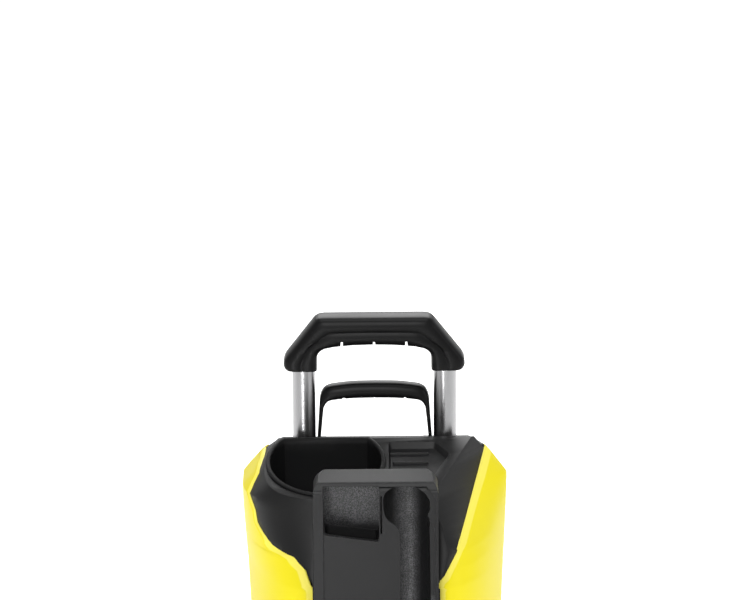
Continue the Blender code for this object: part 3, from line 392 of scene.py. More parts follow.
def casing_form(name, inset=0.0, foot=BODY_FOOT_Z, step=8.0):
    """The casing as one solid; inset draws its walls in."""
    rings = []
    for z in casing_levels(step) + ([foot] if foot < BODY_FOOT_Z else []):
        level = max(z, BODY_FOOT_Z)
        right, left = half_ring(level, 1), half_ring(level, -1)
        outline = right + left[-2:0:-1]
        front = outline[0][1]
        middle, depth = (front + CASING_REAR) / 2, (CASING_REAR - front) / 2
        across, along = 1 - inset / 138, 1 - inset / depth
        rings.append([(x * across, middle + (y - middle) * along, z) for x, y in outline])
    return loft(name, rings, True)


def above_deck(drop=0.0):
    """Everything above the casing's roof, as a bar across the machine."""
    rear = CASING_REAR + 20
    roof = ((-200, deck_z(-200) - drop), (CREST_Y, CREST_Z - drop),
            (CREST_Y + 4, CREST_Z - 1 - drop), (DECK_REAR - 0.9, SHELF_Z - drop),
            (CASING_REAR - 8, SHELF_Z - drop), (rear, SHELF_Z - 22 - drop), (rear, 700), (-200, 700))
    return prism("above_deck", roof, -300, 300, "X")


def side_region(seam, side, grow=0.0):
    """The block that holds one side shell."""
    outline = [(y - grow, z + grow) for y, z in seam]
    outline += [(-250, 324 + grow), (-250, 0), (SIDE_REAR + grow, 0), (SIDE_REAR + grow, PANEL_TOP + grow)]
    inner_x = SEAM_X - grow
    low, high = (inner_x, 300) if side > 0 else (-300, -inner_x)
    return prism("side_region", outline, low, high, "X")


def rear_region(grow=0.0):
    outline = ((DECK_REAR - grow, 600), (DECK_REAR - grow, PANEL_TOP + 0.6 - grow),
               (SIDE_REAR + 0.6 - grow, PANEL_TOP + 0.6 - grow), (SIDE_REAR + 0.6 - grow, 0),
               (300, 0), (300, 600))
    return prism("rear_region", outline, -300, 300, "X")


def wheel_arch(side, grow=0.0):
    start, end = sorted((side * ARCH_X, side * 300))
    return rod("arch", ARCH_RADIUS + grow, (start, WHEEL_Y, WHEEL_RADIUS), (end, WHEEL_Y, WHEEL_RADIUS), 96)


# --- shader kit ----------------------------------------------------------------

class Signal:
    """A shader socket that Python arithmetic turns into Math nodes."""

    def __init__(self, recipe, socket):
        self.recipe = recipe
        self.socket = socket

    def maths(self, operation, *values, clamp=False):
        node = self.recipe.node("ShaderNodeMath", {"operation": operation, "use_clamp": clamp},
                                dict(enumerate(values)))
        return Signal(self.recipe, node.outputs[0])

    def __add__(self, other):
        return self.maths("ADD", self, other)

    __radd__ = __add__

    def __sub__(self, other):
        return self.maths("SUBTRACT", self, other)

    def __rsub__(self, other):
        return self.maths("SUBTRACT", other, self)

    def __mul__(self, other):
        return self.maths("MULTIPLY", self, other)

    __rmul__ = __mul__

    def __truediv__(self, other):
        return self.maths("DIVIDE", self, other)

    def __pow__(self, other):
        return self.maths("POWER", self, other)

    def limited(self):
        return self.maths("ADD", self, 0.0, clamp=True)

    def step(self, low, high):
        """0 below low, 1 above high, and smooth between them."""
        node = self.recipe.node("ShaderNodeMapRange", {"interpolation_type": "SMOOTHSTEP"},
                                {"Value": self, "From Min": low, "From Max": high})
        return Signal(self.recipe, node.outputs["Result"])


class Recipe:
    """A material whose nodes are added by type."""

    def __init__(self, name, preview):
        self.material = bpy.data.materials.new(name)
        self.material.use_nodes = True
        self.material.diffuse_color = (*preview, 1)
        self.tree = self.material.node_tree
        self.shader = self.tree.nodes["Principled BSDF"]

    def node(self, kind, settings=None, values=None):
        node = self.tree.nodes.new(kind)
        for key, value in (settings or {}).items():
            setattr(node, key, value)
        for key, value in (values or {}).items():
            self.feed(node.inputs[key], value)
        return node

    def feed(self, socket, value):
        if isinstance(value, Signal):
            self.tree.links.new(value.socket, socket)
        elif isinstance(value, bpy.types.NodeSocket):
            self.tree.links.new(value, socket)
        else:
            socket.default_value = value

    def place(self, scale=(1, 1, 1)):
        """Object coordinates in metres, stretched by scale."""
        spot = self.node("ShaderNodeTexCoord").outputs["Object"]
        return self.node("ShaderNodeMapping", None, {"Vector": spot, "Scale": scale}).outputs["Vector"]

    def noise(self, scale, detail=3.0, roughness=0.55, stretch=(1, 1, 1)):
        node = self.node("ShaderNodeTexNoise", None, {
            "Vector": self.place(stretch), "Scale": scale, "Detail": detail, "Roughness": roughness})
        return Signal(self, node.outputs["Fac"])

    def cells(self, scale, stretch=(1, 1, 1)):
        node = self.node("ShaderNodeTexVoronoi", {"feature": "SMOOTH_F1"}, {
            "Vector": self.place(stretch), "Scale": scale, "Smoothness": 0.6})
        return Signal(self, node.outputs["Distance"])

    def mix(self, factor, first, second):
        node = self.node("ShaderNodeMix", {"data_type": "RGBA"})
        for socket, value in ((node.inputs[0], factor), (node.inputs[6], first), (node.inputs[7], second)):
            self.feed(socket, value if not isinstance(value, tuple) else (*value, 1))
        return node.outputs[2]

    def edge_normal(self, radius):
        return self.node("ShaderNodeBevel", {"samples": 4}, {"Radius": radius * METRES}).outputs["Normal"]

    def edge_mask(self, radius):
        """Near 1 on edges and 0 on flats, from how far a rounded normal turns away."""
        true_normal = self.node("ShaderNodeNewGeometry").outputs["Normal"]
        turn = self.node("ShaderNodeVectorMath", {"operation": "DOT_PRODUCT"},
                         {0: self.edge_normal(radius), 1: true_normal})
        return (1 - Signal(self, turn.outputs["Value"])).step(0.01, 0.16)

    def finish(self, colour, roughness, metallic=0.0, relief=None, depth=0.1, edge=0.0, **uniform):
        """Feeds the shader; relief is a height signal and depth its size in millimetres."""
        self.feed(self.shader.inputs["Base Color"], (*colour, 1) if isinstance(colour, tuple) else colour)
        self.feed(self.shader.inputs["Roughness"], roughness)
        self.feed(self.shader.inputs["Metallic"], metallic)
        normal = self.edge_normal(edge) if edge else None
        if relief is not None:
            bump = self.node("ShaderNodeBump", None, {"Distance": depth * METRES, "Height": relief})
            if normal is not None:
                self.feed(bump.inputs["Normal"], normal)
            normal = bump.outputs["Normal"]
        if normal is not None:
            self.feed(self.shader.inputs["Normal"], normal)
        for key, value in uniform.items():
            self.shader.inputs[key.replace("_", " ")].default_value = value
        return self.material


def shade(colour, factor):
    return tuple(c * factor for c in colour)


def moulded_plastic(name, colour, roughness, grain=0.03, edge=0.6, grain_scale=1500, wear=0.35, shine=0.3):
    """Moulded plastic with spark-eroded grain, faint flow marks, handling marks, and edges painted lighter in
    patches, partly as wear and partly as a painted highlight.
    """
    recipe = Recipe(name, colour)
    grain_relief = recipe.noise(grain_scale, 2.0)
    flow = recipe.noise(14, 3.0, 0.5, (1, 1, 0.4))
    marks = recipe.noise(60, 5.0, 0.7).step(0.56, 0.78)
    edges = recipe.edge_mask(1.2)
    painted_light_patch = recipe.noise(90, 4.0, 0.65).step(0.4, 0.7)
    base = recipe.mix(flow, shade(colour, 0.86), shade(colour, 1.16))
    # Edges painted lighter in patches: partly wear, partly a painted highlight on the rounded edges.
    base = recipe.mix((edges * painted_light_patch * wear).limited(), base, shade(colour, 2.4))
    return recipe.finish(base, (roughness + flow * 0.1 - marks * 0.07 - edges * 0.05).limited(),
                         relief=grain_relief, depth=grain, edge=edge, Specular_IOR_Level=shine)


def grained_plastic(name, colour):
    """Glossy black with a coarse leather grain; bright specks are painted into its colour as highlights, in a
    streak down the lance channel and on the pocket's upper wall, and the pocket below stays dark as painted
    shade.
    """
    recipe = Recipe(name, colour)
    leather = recipe.noise(900, 2.0, 0.6)
    patch = recipe.noise(45, 3.0, 0.6)
    spot = recipe.node("ShaderNodeSeparateXYZ", None, {"Vector": recipe.place()}).outputs
    across, height = Signal(recipe, spot["X"]), Signal(recipe, spot["Z"])
    # Where highlights are painted: a vertical streak down the middle of the lance channel, and the pocket's
    # wall above about 390 mm; lower in the pocket it is left dark as painted shade.
    channel = across.step(0.004, 0.006)
    aside = (across - CHANNEL_X * METRES) * 64
    painted_light_patch = channel * (1 - aside * aside).limited() + (1 - channel) * height.step(0.386, 0.397)
    painted_highlight_specks = (leather * 0.75 + patch * 0.25).step(0.4, 0.64) * painted_light_patch
    # The bright specks painted into the colour stand for highlights.
    base = recipe.mix(painted_highlight_specks, shade(colour, 0.8), shade(colour, 9.0))
    return recipe.finish(base, (0.42 - painted_highlight_specks * 0.14).limited(), relief=leather, depth=0.3, edge=0.3,
                         Specular_IOR_Level=0.5)


def yellow_plastic(name, colour):
    """Bright satin moulding with a fine orange peel, faint depth in its colour and soft edges; the seam's
    chamfer band and the edges are painted lighter as painted highlights.
    """
    recipe = Recipe(name, colour)
    peel = recipe.noise(420, 2.0, 0.5)
    flow = recipe.noise(9, 3.0, 0.5, (1, 1, 0.35))
    low = recipe.node("ShaderNodeSeparateXYZ", None, {"Vector": recipe.place()}).outputs["Z"]
    dust = recipe.noise(40, 5.0, 0.65).step(0.45, 0.75) * (1 - Signal(recipe, low).step(0.03, 0.2))
    edges = recipe.edge_mask(1.5)
    base = recipe.mix(flow, shade(colour, 0.93), shade(colour, 1.05))
    # The chamfer band along the seam is painted lighter, a painted highlight on its bevel.
    chamfer_highlight = Signal(recipe, recipe.node("ShaderNodeAttribute", {"attribute_name": "chamfer"}).outputs["Fac"])
    base = recipe.mix((chamfer_highlight * 0.75).limited(), base, tuple(min(1, c * 1.02 + 0.14) for c in colour))
    # Edges painted lighter: a painted highlight on the rounded edges.
    base = recipe.mix((edges * 0.35).limited(), base, tuple(min(1, c * 1.15 + 0.05) for c in colour))
    base = recipe.mix((dust * 0.25).limited(), base, (0.42, 0.36, 0.16))
    return recipe.finish(base, (0.38 + flow * 0.08 + dust * 0.3).limited(), relief=peel, depth=0.012,
                         edge=0.8, Coat_Weight=0.04, Coat_Roughness=0.3, Specular_IOR_Level=0.22)


def soft_rubber(name, colour, roughness=0.72, scale=900):
    recipe = Recipe(name, colour)
    pores = recipe.cells(scale)
    patch = recipe.noise(45, 4.0)
    base = recipe.mix(patch, shade(colour, 0.8), shade(colour, 1.3))
    return recipe.finish(base, (roughness + patch * 0.14).limited(), relief=pores, depth=0.05,
                         edge=0.8, Specular_IOR_Level=0.35)


def drawn_metal(name, colour, roughness, stretch=(1, 1, 0.03), scale=900, streaks=0.12):
    """Metal with fine lines left by drawing or turning, along the axis that stretch shortens."""
    recipe = Recipe(name, colour)
    lines = recipe.noise(scale, 3.0, 0.6, stretch)
    cloud = recipe.noise(25, 3.0)
    base = recipe.mix(lines, shade(colour, 0.93), tuple(min(1, c * 1.04) for c in colour))
    return recipe.finish(base, (roughness + lines * streaks + cloud * 0.06).limited(), 1.0,
                         relief=lines, depth=0.006)


def cast_metal(name, colour, roughness=0.5):
    recipe = Recipe(name, colour)
    skin = recipe.noise(700, 4.0, 0.6)
    cloud = recipe.noise(30, 3.0)
    base = recipe.mix(cloud, shade(colour, 0.8), shade(colour, 1.08))
    return recipe.finish(base, (roughness + skin * 0.15).limited(), 1.0, relief=skin, depth=0.08, edge=0.6)


def wound_copper(name, colour):
    """Lacquered windings: fine turns that run across the machine's axis."""
    recipe = Recipe(name, colour)
    turns = recipe.node("ShaderNodeTexWave", {"wave_type": "BANDS", "bands_direction": "DIAGONAL"},
                        {"Vector": recipe.place(), "Scale": 450.0, "Distortion": 1.5})
    ridge = Signal(recipe, turns.outputs["Fac"])
    # The grooves between the turns are painted darker, as painted shade.
    base = recipe.mix(ridge, shade(colour, 0.35), colour)
    return recipe.finish(base, (0.3 + ridge * 0.15).limited(), 0.85, relief=ridge, depth=0.2)


BLACK = (0.0105, 0.0105, 0.011)
finishes = {}


def finish_named(name):
    """Makes each finish once, when a piece first asks for it."""
    colours = bpy.context.scene.washer_colours
    body, accent = tuple(colours.body), tuple(colours.accent)

    def black(share, roughness, **rest):
        return moulded_plastic(name, shade(body, share), roughness, **rest)

    makers = {
        "casing_black": lambda: black(0.62, 0.38, grain=0.02, edge=0.8, wear=0.9, shine=0.28),
        "handle_black": lambda: black(0.4, 0.32, grain=0.02, edge=0.5, shine=0.17),
        # The holder's edges are painted much lighter, a painted highlight for the thin light rims round the
        # pocket and the channel.
        "holder_grey": lambda: black(0.9, 0.34, edge=0.9, wear=1.6),
        "pocket_grain_highlight": lambda: grained_plastic("pocket_grain_highlight", shade(body, 1.1)),
        "cup_black": lambda: black(0.6, 0.45, shine=0.16),
        "base_black": lambda: black(0.9, 0.58, grain=0.06, edge=0.8, grain_scale=800),
        "fitting_black": lambda: black(1.2, 0.4, grain=0.02, edge=0.5),
        "accent_yellow": lambda: yellow_plastic("accent_yellow", accent),
        "soft_grip": lambda: soft_rubber("soft_grip", shade(body, 1.1)),
        "tyre_rubber": lambda: soft_rubber("tyre_rubber", shade(body, 1.3), 0.78, 500),
        "tube_aluminium": lambda: drawn_metal("tube_aluminium", (0.4, 0.4, 0.405), 0.2),
        "turned_steel": lambda: drawn_metal("turned_steel", (0.48, 0.49, 0.5), 0.26, (1, 1, 1), 500),
        "cast_aluminium": lambda: cast_metal("cast_aluminium", (0.55, 0.56, 0.57)),
        "brass": lambda: drawn_metal("brass", (0.6, 0.43, 0.17), 0.3, (1, 1, 1), 600),
        "copper_windings": lambda: wound_copper("copper_windings", (0.62, 0.28, 0.13)),
        "pale_plastic": lambda: moulded_plastic("pale_plastic", (0.55, 0.55, 0.52), 0.42, 0.02, 0.5),
    }
    if name not in finishes:
        finishes[name] = makers[name]()
    return finishes[name]


def dress(obj, finish, body, slot, *nodes):
    """Gives a new piece its finish and body, and hides the nodes that it stands for; slot is not used."""
    obj.data.materials.clear()
    obj.data.materials.append(finish_named(finish))
    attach(obj, body)
    if nodes:
        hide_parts(*nodes)
    return obj


# --- telescopic handle ---------------------------------------------------------

FINGER_PITCH = 35.5


def section_along(spine, profile):
    """Rings for a bar that follows pairs of (inner, outer) points in the X-Z plane.

    profile holds (share from inner to outer, y) for one closed section.
    """
    return [[(inner[0] + (outer[0] - inner[0]) * a, y, inner[1] + (outer[1] - inner[1]) * a)
             for a, y in profile] for inner, outer in spine]


def resampled(points, count):
    """Points at even steps along a line."""
    points = [Vector(p) for p in points]
    lengths = [0.0]
    for a, b in zip(points, points[1:]):
        lengths.append(lengths[-1] + (b - a).length)
    made, k = [], 0
    for i in range(count + 1):
        target = lengths[-1] * i / count
        while k < len(points) - 2 and lengths[k + 1] < target:
            k += 1
        span = max(1e-9, lengths[k + 1] - lengths[k])
        made.append(tuple(points[k].lerp(points[k + 1], (target - lengths[k]) / span)))
    return made


def whole_spine(inner, outer, marks):
    """Pairs of inner and outer points from one foot of a handle to the other.

    marks says which inner point (second) faces an outer point (first)."""
    def facing(i):
        for (a, u), (b, v) in zip(marks, marks[1:]):
            if i <= b:
                return min(len(inner) - 1, round(u + (v - u) * (i - a) / (b - a)))
        return len(inner) - 1

    pairs = [(inner[facing(i)], point) for i, point in enumerate(outer)]
    return pairs + [((-a[0], a[1]), (-b[0], b[1])) for a, b in pairs[-2::-1]]


def make_handle_grip():
    """The pull handle's grip with its finger slits, from one lofted section."""
    low, high = node_box("handle_grip")
    foot, top, wide = low.z, high.z, high.x
    middle, half = (low.y + high.y) / 2, (high.y - low.y) / 2
    opening, bar = wide - 37.0, 31.0
    under = top - bar
    outer_half = [(wide - 3.5, foot), (wide - 1.0, foot + 2.2), (wide, foot + 6), (wide - 0.6, foot + 11),
                  (wide - 3, foot + 16), (opening + 4.0, top - 5.6), (opening + 1.6, top - 3),
                  (opening - 2.5, top - 0.6), (opening - 8, top), (0, top)]
    inner_half = [(opening, foot), (opening, foot + 8), (opening - 0.2, under - 14),
                  (opening - 1.4, under - 10),
                  (opening - 4.5, under - 6.4), (opening - 9.5, under - 4), (opening - 18, under - 2.4),
                  (22, under - 0.5), (0, under)]
    marks = ((0, 0), (14, 8), (24, 20), (34, 40), (60, 60), (100, 100))
    steps = 100
    outer, inner = resampled(outer_half, steps), resampled(inner_half, steps)

    spine = whole_spine(inner, outer, marks)
    front = ((0.0, 0.52), (0.012, 0.74), (0.05, 0.88), (0.13, 0.965), (0.24, 1.0), (0.36, 0.985),
             (0.45, 0.94), (0.485, 0.915), (0.515, 0.93), (0.56, 0.975), (0.74, 0.955), (0.86, 0.9),
             (0.93, 0.82), (0.975, 0.7), (1.0, 0.5))
    profile = [(a, middle - half * b) for a, b in front]
    profile += [(1.0, middle)] + [(a, middle + half * b) for a, b in reversed(front)] + [(0.0, middle)]
    grip = loft("handle_grip_shell", section_along(spine, profile))
    for k in (-1, 0, 1):
        x = k * FINGER_PITCH
        slit = rounded([(x - 1.5, under - 8), (x + 1.5, under - 8), (x + 1.1, under + 6.5),
                        (x - 1.1, under + 6.5)], 1.0, 3)
        cut(grip, prism("slit", slit, low.y - 5, low.y + 14, "Y"))
        cut(grip, prism("slit", slit, high.y - 14, high.y + 5, "Y"))
        cut(grip, rod("notch", 1.6, (x, low.y - 5, under - 0.7), (x, high.y + 5, under - 0.7), 20))
    smooth(welded(grip), 38)
    dress(grip, "handle_black", "transport_handle", "black_plastic", "handle_grip", "grip_insert")


def sockets(tree, **kinds):
    """Gives a tree its named inputs and one output for the geometry."""
    for name, kind in kinds.items():
        tree.interface.new_socket(name, in_out="INPUT", socket_type="NodeSocket" + kind)
    tree.interface.new_socket("Geometry", in_out="OUTPUT", socket_type="NodeSocketGeometry")


def finished_tree(tree, last, entry, leave):
    """Ends a tree: real geometry instead of instances, with its material set."""
    whole = tree.nodes.new("GeometryNodeRealizeInstances")
    painted = tree.nodes.new("GeometryNodeSetMaterial")
    tree.links.new(last.outputs[0], whole.inputs[0])
    tree.links.new(whole.outputs[0], painted.inputs["Geometry"])
    tree.links.new(entry.outputs["Material"], painted.inputs["Material"])
    tree.links.new(painted.outputs[0], leave.inputs[0])
    return tree


def tube_tree():
    """Geometry Nodes that draw a round tube from its named sizes."""
    tree = bpy.data.node_groups.new("drawn tube", "GeometryNodeTree")
    sockets(tree, Radius="Float", Wall="Float", Low="Float", High="Float", X="Float", Y="Float",
            Sides="Int", Material="Material")
    nodes, link = tree.nodes, tree.links.new
    entry, leave = nodes.new("NodeGroupInput"), nodes.new("NodeGroupOutput")

    def point(z):
        spot = nodes.new("ShaderNodeCombineXYZ")
        link(entry.outputs["X"], spot.inputs["X"])
        link(entry.outputs["Y"], spot.inputs["Y"])
        link(entry.outputs[z], spot.inputs["Z"])
        return spot.outputs[0]

    def wall(radius_socket, flipped):
        line = nodes.new("GeometryNodeCurvePrimitiveLine")
        link(point("High" if flipped else "Low"), line.inputs["Start"])
        link(point("Low" if flipped else "High"), line.inputs["End"])
        circle = nodes.new("GeometryNodeCurvePrimitiveCircle")
        link(entry.outputs["Sides"], circle.inputs["Resolution"])
        link(radius_socket, circle.inputs["Radius"])
        sweep = nodes.new("GeometryNodeCurveToMesh")
        link(line.outputs[0], sweep.inputs["Curve"])
        link(circle.outputs[0], sweep.inputs["Profile Curve"])
        return sweep.outputs[0]

    bore = nodes.new("ShaderNodeMath")
    bore.operation = "SUBTRACT"
    link(entry.outputs["Radius"], bore.inputs[0])
    link(entry.outputs["Wall"], bore.inputs[1])
    both = nodes.new("GeometryNodeJoinGeometry")
    link(wall(entry.outputs["Radius"], False), both.inputs[0])
    link(wall(bore.outputs[0], True), both.inputs[0])
    return finished_tree(tree, both, entry, leave)


def from_tree(name, tree, values, start=None):
    """Runs a tree with its inputs set by name, and returns the result as a plain mesh object."""
    obj = start or bpy.data.objects.new(name, bpy.data.meshes.new(name))
    if start is None:
        bpy.context.scene.collection.objects.link(obj)
    modifier = obj.modifiers.new("shape", "NODES")
    modifier.node_group = tree
    for socket in tree.interface.items_tree:
        if socket.item_type == "SOCKET" and socket.in_out == "INPUT" and socket.name in values:
            modifier[socket.identifier] = values[socket.name]
    applied(obj)
    obj.name = name
    return obj


# A collar's section: distance out from the tube and height over the casing's shelf.
COLLAR_SECTION = ((0.25, -6), (1.6, -6), (1.6, 0.1), (3.1, 0.1), (3.1, 0.9), (2.2, 1.7), (0.7, 1.7),
                  (0.25, 1.2))


def make_tubes():
    """Both telescopic tubes and the collars that they slide through."""
    tree = tube_tree()
    for side, hand in ((1, "right"), (-1, "left")):
        low, high = node_box(hand + "_tube")
        tube = from_tree(hand + "_drawn_tube", tree, {
            "Radius": TUBE_RADIUS * METRES, "Wall": 1.6 * METRES, "Low": low.z * METRES,
            "High": high.z * METRES, "X": side * TUBE_X * METRES, "Y": TUBE_Y * METRES,
            "Sides": 96, "Material": finish_named("tube_aluminium")})
        closed_rims(tube)
        smooth(tube, 40)
        dress(tube, "tube_aluminium", "transport_handle", "tube_aluminium", hand + "_tube")
        collar = turned(hand + "_tube_collar", [(TUBE_RADIUS + out, SHELF_Z + up) for out,
                                                up in COLLAR_SECTION],
                        (side * TUBE_X, TUBE_Y, 0))
        smooth(collar)
        dress(collar, "fitting_black", "casing", "black_plastic")


def closed_rims(obj):
    """Bridges the open ends of a tube's outer and inner wall."""
    shape = bmesh.new()
    shape.from_mesh(obj.data)
    rims = [e for e in shape.edges if e.is_boundary]
    for height in (min(v.co.z for v in shape.verts), max(v.co.z for v in shape.verts)):
        level = [e for e in rims if all(abs(v.co.z - height) < 1e-5 for v in e.verts)]
        bmesh.ops.bridge_loops(shape, edges=level)
    bmesh.ops.recalc_face_normals(shape, faces=shape.faces)
    shape.to_mesh(obj.data)
    shape.free()


# --- carrying handle -----------------------------------------------------------

def make_carry_handle():
    low, high = node_box("carry_handle")
    foot, top, wide = low.z, high.z, high.x
    under, middle = top - 17.0, (low.y + high.y) / 2
    half = (high.y - low.y) / 2
    outer_half = [(wide, foot), (wide - 0.4, foot + 6), (wide - 2.9, top - 26), (wide - 3.4, top - 18.5),
                  (wide - 5.2, top - 12), (wide - 8.5, top - 7), (wide - 14, top - 3.9),
                  (wide - 22, top - 2.4), (24, top - 0.5), (0, top)]
    inner_half = [(wide - 3.9, foot), (wide - 4.3, foot + 6), (wide - 7.4, under - 14),
                  (wide - 8.6, under - 9.4),
                  (wide - 11.2, under - 5), (wide - 15.5, under - 2.6), (wide - 23, under - 1.6),
                  (22, under - 0.3), (0, under)]
    steps = 80
    outer = resampled(smooth_path(outer_half, 4), steps)
    inner = resampled(smooth_path(inner_half, 4), steps)
    marks = ((0, 0), (26, 28), (38, 44), (52, 56), (80, 80))

    spine = whole_spine(inner, outer, marks)
    front = ((0.0, 0.6), (0.04, 0.82), (0.14, 0.95), (0.3, 1.0), (0.5, 0.98), (0.68, 0.92), (0.84, 0.8),
             (0.94, 0.64), (1.0, 0.4))
    profile = [(a, middle - half * b) for a, b in front] + [(1.0, middle)]
    profile += [(a, middle + half * b) for a, b in reversed(front)] + [(0.0, middle)]
    handle = loft("carry_handle_bar", section_along(spine, profile))
    for side in (-1, 1):
        x0, x1 = sorted((side * (wide - 10), side * (wide - 0.5)))
        pad = box("foot_pad", (x0, middle - half, foot), (x1, middle + half, foot + 2))
        join(handle, bevelled(pad, 0.8, 3))
    for k in (-1, 0, 1):
        x = k * FINGER_PITCH * 0.95
        cut(handle, rod("notch", 2.0, (x, low.y - 5, under - 0.9), (x, high.y + 5, under - 0.9), 20))
    smooth(welded(handle), 38)
    dress(handle, "handle_black", "casing", "black_plastic", "carry_handle")


# --- casing --------------------------------------------------------------------

def seam_y(side, z):
    """The seam's y at a height above the middle of the front."""
    seam = RIGHT_SEAM if side > 0 else LEFT_SEAM
    return between([(height, y) for y, height in seam], z)[0]


def shell_rear(z):
    """Where a side shell ends at a height: its rear edge, or the wheel's arch."""
    rise = ARCH_RADIUS ** 2 - (z - WHEEL_RADIUS) ** 2
    return min(SIDE_REAR, WHEEL_Y - math.sqrt(rise)) if rise > 0 else SIDE_REAR


def shell_row(side, z):
    """The casing's line at a height, from the seam to the rear edge of the side shell."""
    line = [Vector(p) for p in half_ring(z, side, 30)]
    rear = shell_rear(z)
    start = None
    made = []
    for a, b in zip(line, line[1:]):
        if start is None:
            if z > 324:
                edge, first, second = max(seam_y(side, z) - 0.01, line[0].y + 0.001), a.y, b.y
            else:
                edge, first, second = SEAM_X, abs(a.x), abs(b.x)
            crosses = min(first, second) - 1e-6 <= edge <= max(first, second) + 1e-6
            if abs(second - first) < 1e-9 or not crosses:
                continue
            start = a.lerp(b, (edge - first) / (second - first))
            made = [start]
        if b.y >= rear and a.y < rear:
            made.append(a.lerp(b, (rear - a.y) / (b.y - a.y)))
            break
        made.append(b)
    return made


def walked(line, distances):
    """Points at given distances along a line."""
    lengths = [0.0]
    for a, b in zip(line, line[1:]):
        lengths.append(lengths[-1] + (b - a).length)
    made, k = [], 0
    for distance in distances:
        distance = min(distance, lengths[-1])
        while k < len(line) - 2 and lengths[k + 1] < distance:
            k += 1
        span = max(1e-9, lengths[k + 1] - lengths[k])
        made.append(line[k].lerp(line[k + 1], (distance - lengths[k]) / span))
    return made, lengths[-1]


CHAMFER_DEPTH = 2.4
RIGHT_CHAMFER = 5.6
LEFT_CHAMFER_STEP = 353
LEFT_CHAMFER_ABOVE = ((400, 2.0), (368, 2.4), (LEFT_CHAMFER_STEP, 6.6))
LEFT_CHAMFER_BELOW = ((LEFT_CHAMFER_STEP, 6.8), (330, 6.6))


def make_side_shell(side):
    """A yellow shell: a fine grid with a chamfer along its seam, cut out round the wheel."""
    hand = "right" if side > 0 else "left"
    levels = [PANEL_TOP - 0.05 - 0.8 * i for i in range(8)]
    while levels[-1] > BODY_FOOT_Z + 3.2:
        levels.append(levels[-1] - (2.6 if levels[-1] > 300 else 5.0))
    levels = [z for z in levels if z > WHEEL_RADIUS + ARCH_RADIUS + 2]
    levels.append(WHEEL_RADIUS + ARCH_RADIUS + 0.3)
    for k in range(1, 40):
        z = WHEEL_RADIUS + ARCH_RADIUS * math.cos(math.radians(3 * k))
        if z < BODY_FOOT_Z + 2:
            break
        levels.append(z)
    levels += [BODY_FOOT_Z + 1.2, BODY_FOOT_Z]
    rows, marks = [], []
    for z in levels:
        line = shell_row(side, z)
        upper, lower = min(z + 2, PANEL_TOP - 0.05), max(z - 2, BODY_FOOT_Z)
        above, below = shell_row(side, upper)[0], shell_row(side, lower)[0]
        run = Vector((above.x - below.x, above.y - below.y)).length
        lean = (upper - lower) / math.hypot(upper - lower, run)
        left = LEFT_CHAMFER_BELOW if z < LEFT_CHAMFER_STEP else LEFT_CHAMFER_ABOVE
        wide = RIGHT_CHAMFER if side > 0 else between(left, z)[0]
        total = walked(line, [0])[1]
        reach = min(wide / lean, 0.42 * total)
        near = [0.0, 0.3, 0.5 * reach, 0.88 * reach, reach, 1.1 * reach, 1.35 * reach, 1.7 * reach]
        far = [near[-1] + (total - near[-1]) * i / 34 for i in range(1, 33)]
        far += [total - 1.2, total - 0.5, total]
        points, total = walked(line, near + far)
        row, highlight_shares = [], []
        for k, point in enumerate(points):
            normal = row_normal(line, point, side)
            distance = (near + far)[k]
            drop = CHAMFER_DEPTH * max(0.0, 1 - distance / reach) + (0.5 if k == 0 else 0.0)
            rear = total - distance
            drop += 0.7 * (1 - rear / 1.2) if rear < 1.2 else 0.0
            if z < BODY_FOOT_Z + 0.6:
                drop += 0.6
            row.append((point.x - normal.x * drop, point.y - normal.y * drop, z))
            # Points on the chamfer band are marked for the painted highlight.
            highlight_shares.append(1.0 if distance < 0.95 * reach else 0.0)
        rows.append(row if side > 0 else row[::-1])
        marks += highlight_shares if side > 0 else highlight_shares[::-1]
    shell = sheet_grid(hand + "_yellow_shell", rows, COVER_WALL, marks)
    shape = bmesh.new()
    shape.from_mesh(shell.data)
    bmesh.ops.recalc_face_normals(shape, faces=shape.faces)
    shape.to_mesh(shell.data)
    shape.free()
    smooth(welded(shell, 0.01), 28)
    dress(shell, "accent_yellow", "casing", "yellow_plastic", hand + "_side_shell")


def row_normal(line, point, side):
    """The outward direction of the casing's line next to a point."""
    nearest = min(range(len(line) - 1), key=lambda i: (line[i] + line[i + 1] - 2 * point).length)
    run = Vector((0.0, 0.0))
    for k in (nearest - 1, nearest, nearest + 1):
        if 0 <= k < len(line) - 1:
            run += (line[k + 1] - line[k]).normalized()
    return Vector((run.y, -run.x)).normalized() * side


def cup_outline(radius, steps=72):
    """The bottle cup's round outline, cut flat at the rear."""
    flat = CUP_FLAT_Y + (radius - CUP_RADIUS) - CUP_Y
    half = math.degrees(math.asin(flat / radius))
    return arc((CUP_X, CUP_Y), radius, -180 - half, half, steps)


TRAY_OUTLINE = ((13, 57), (68, 57), (84, 32), (64, -14), (13, -14))
TRAY_DEPTH = 6.5
TRAY_RIBS = ((37, 42, 45), (39, 25, 39))


def shrunk(outline, distance):
    """Moves each side of a convex outline inwards; the outline may run either way."""
    count, made = len(outline), []
    area = sum(a[0] * b[1] - b[0] * a[1] for a, b in zip(outline, outline[1:] + outline[:1]))
    turn = 1 if area > 0 else -1
    for i in range(count):
        before, here, after = (Vector(outline[(i + k) % count]) for k in (-1, 0, 1))
        first, second = (here - before).normalized(), (after - here).normalized()
        normal = Vector((-first.y, first.x)) + Vector((-second.y, second.x))
        normal.normalize()
        stretch = max(0.5, normal.dot(Vector((-first.y, first.x))))
        made.append(tuple(here + normal * (turn * distance / stretch)))
    return made


def on_deck(outline, lift):
    return [(x, y, deck_z(y) + lift) for x, y in outline]


def casing_shell(name):
    shell = cut(casing_form(name), above_deck())
    hollow = cut(casing_form("hollow", 3.0, BODY_FOOT_Z - 20), above_deck(3.0))
    return cut(shell, hollow)


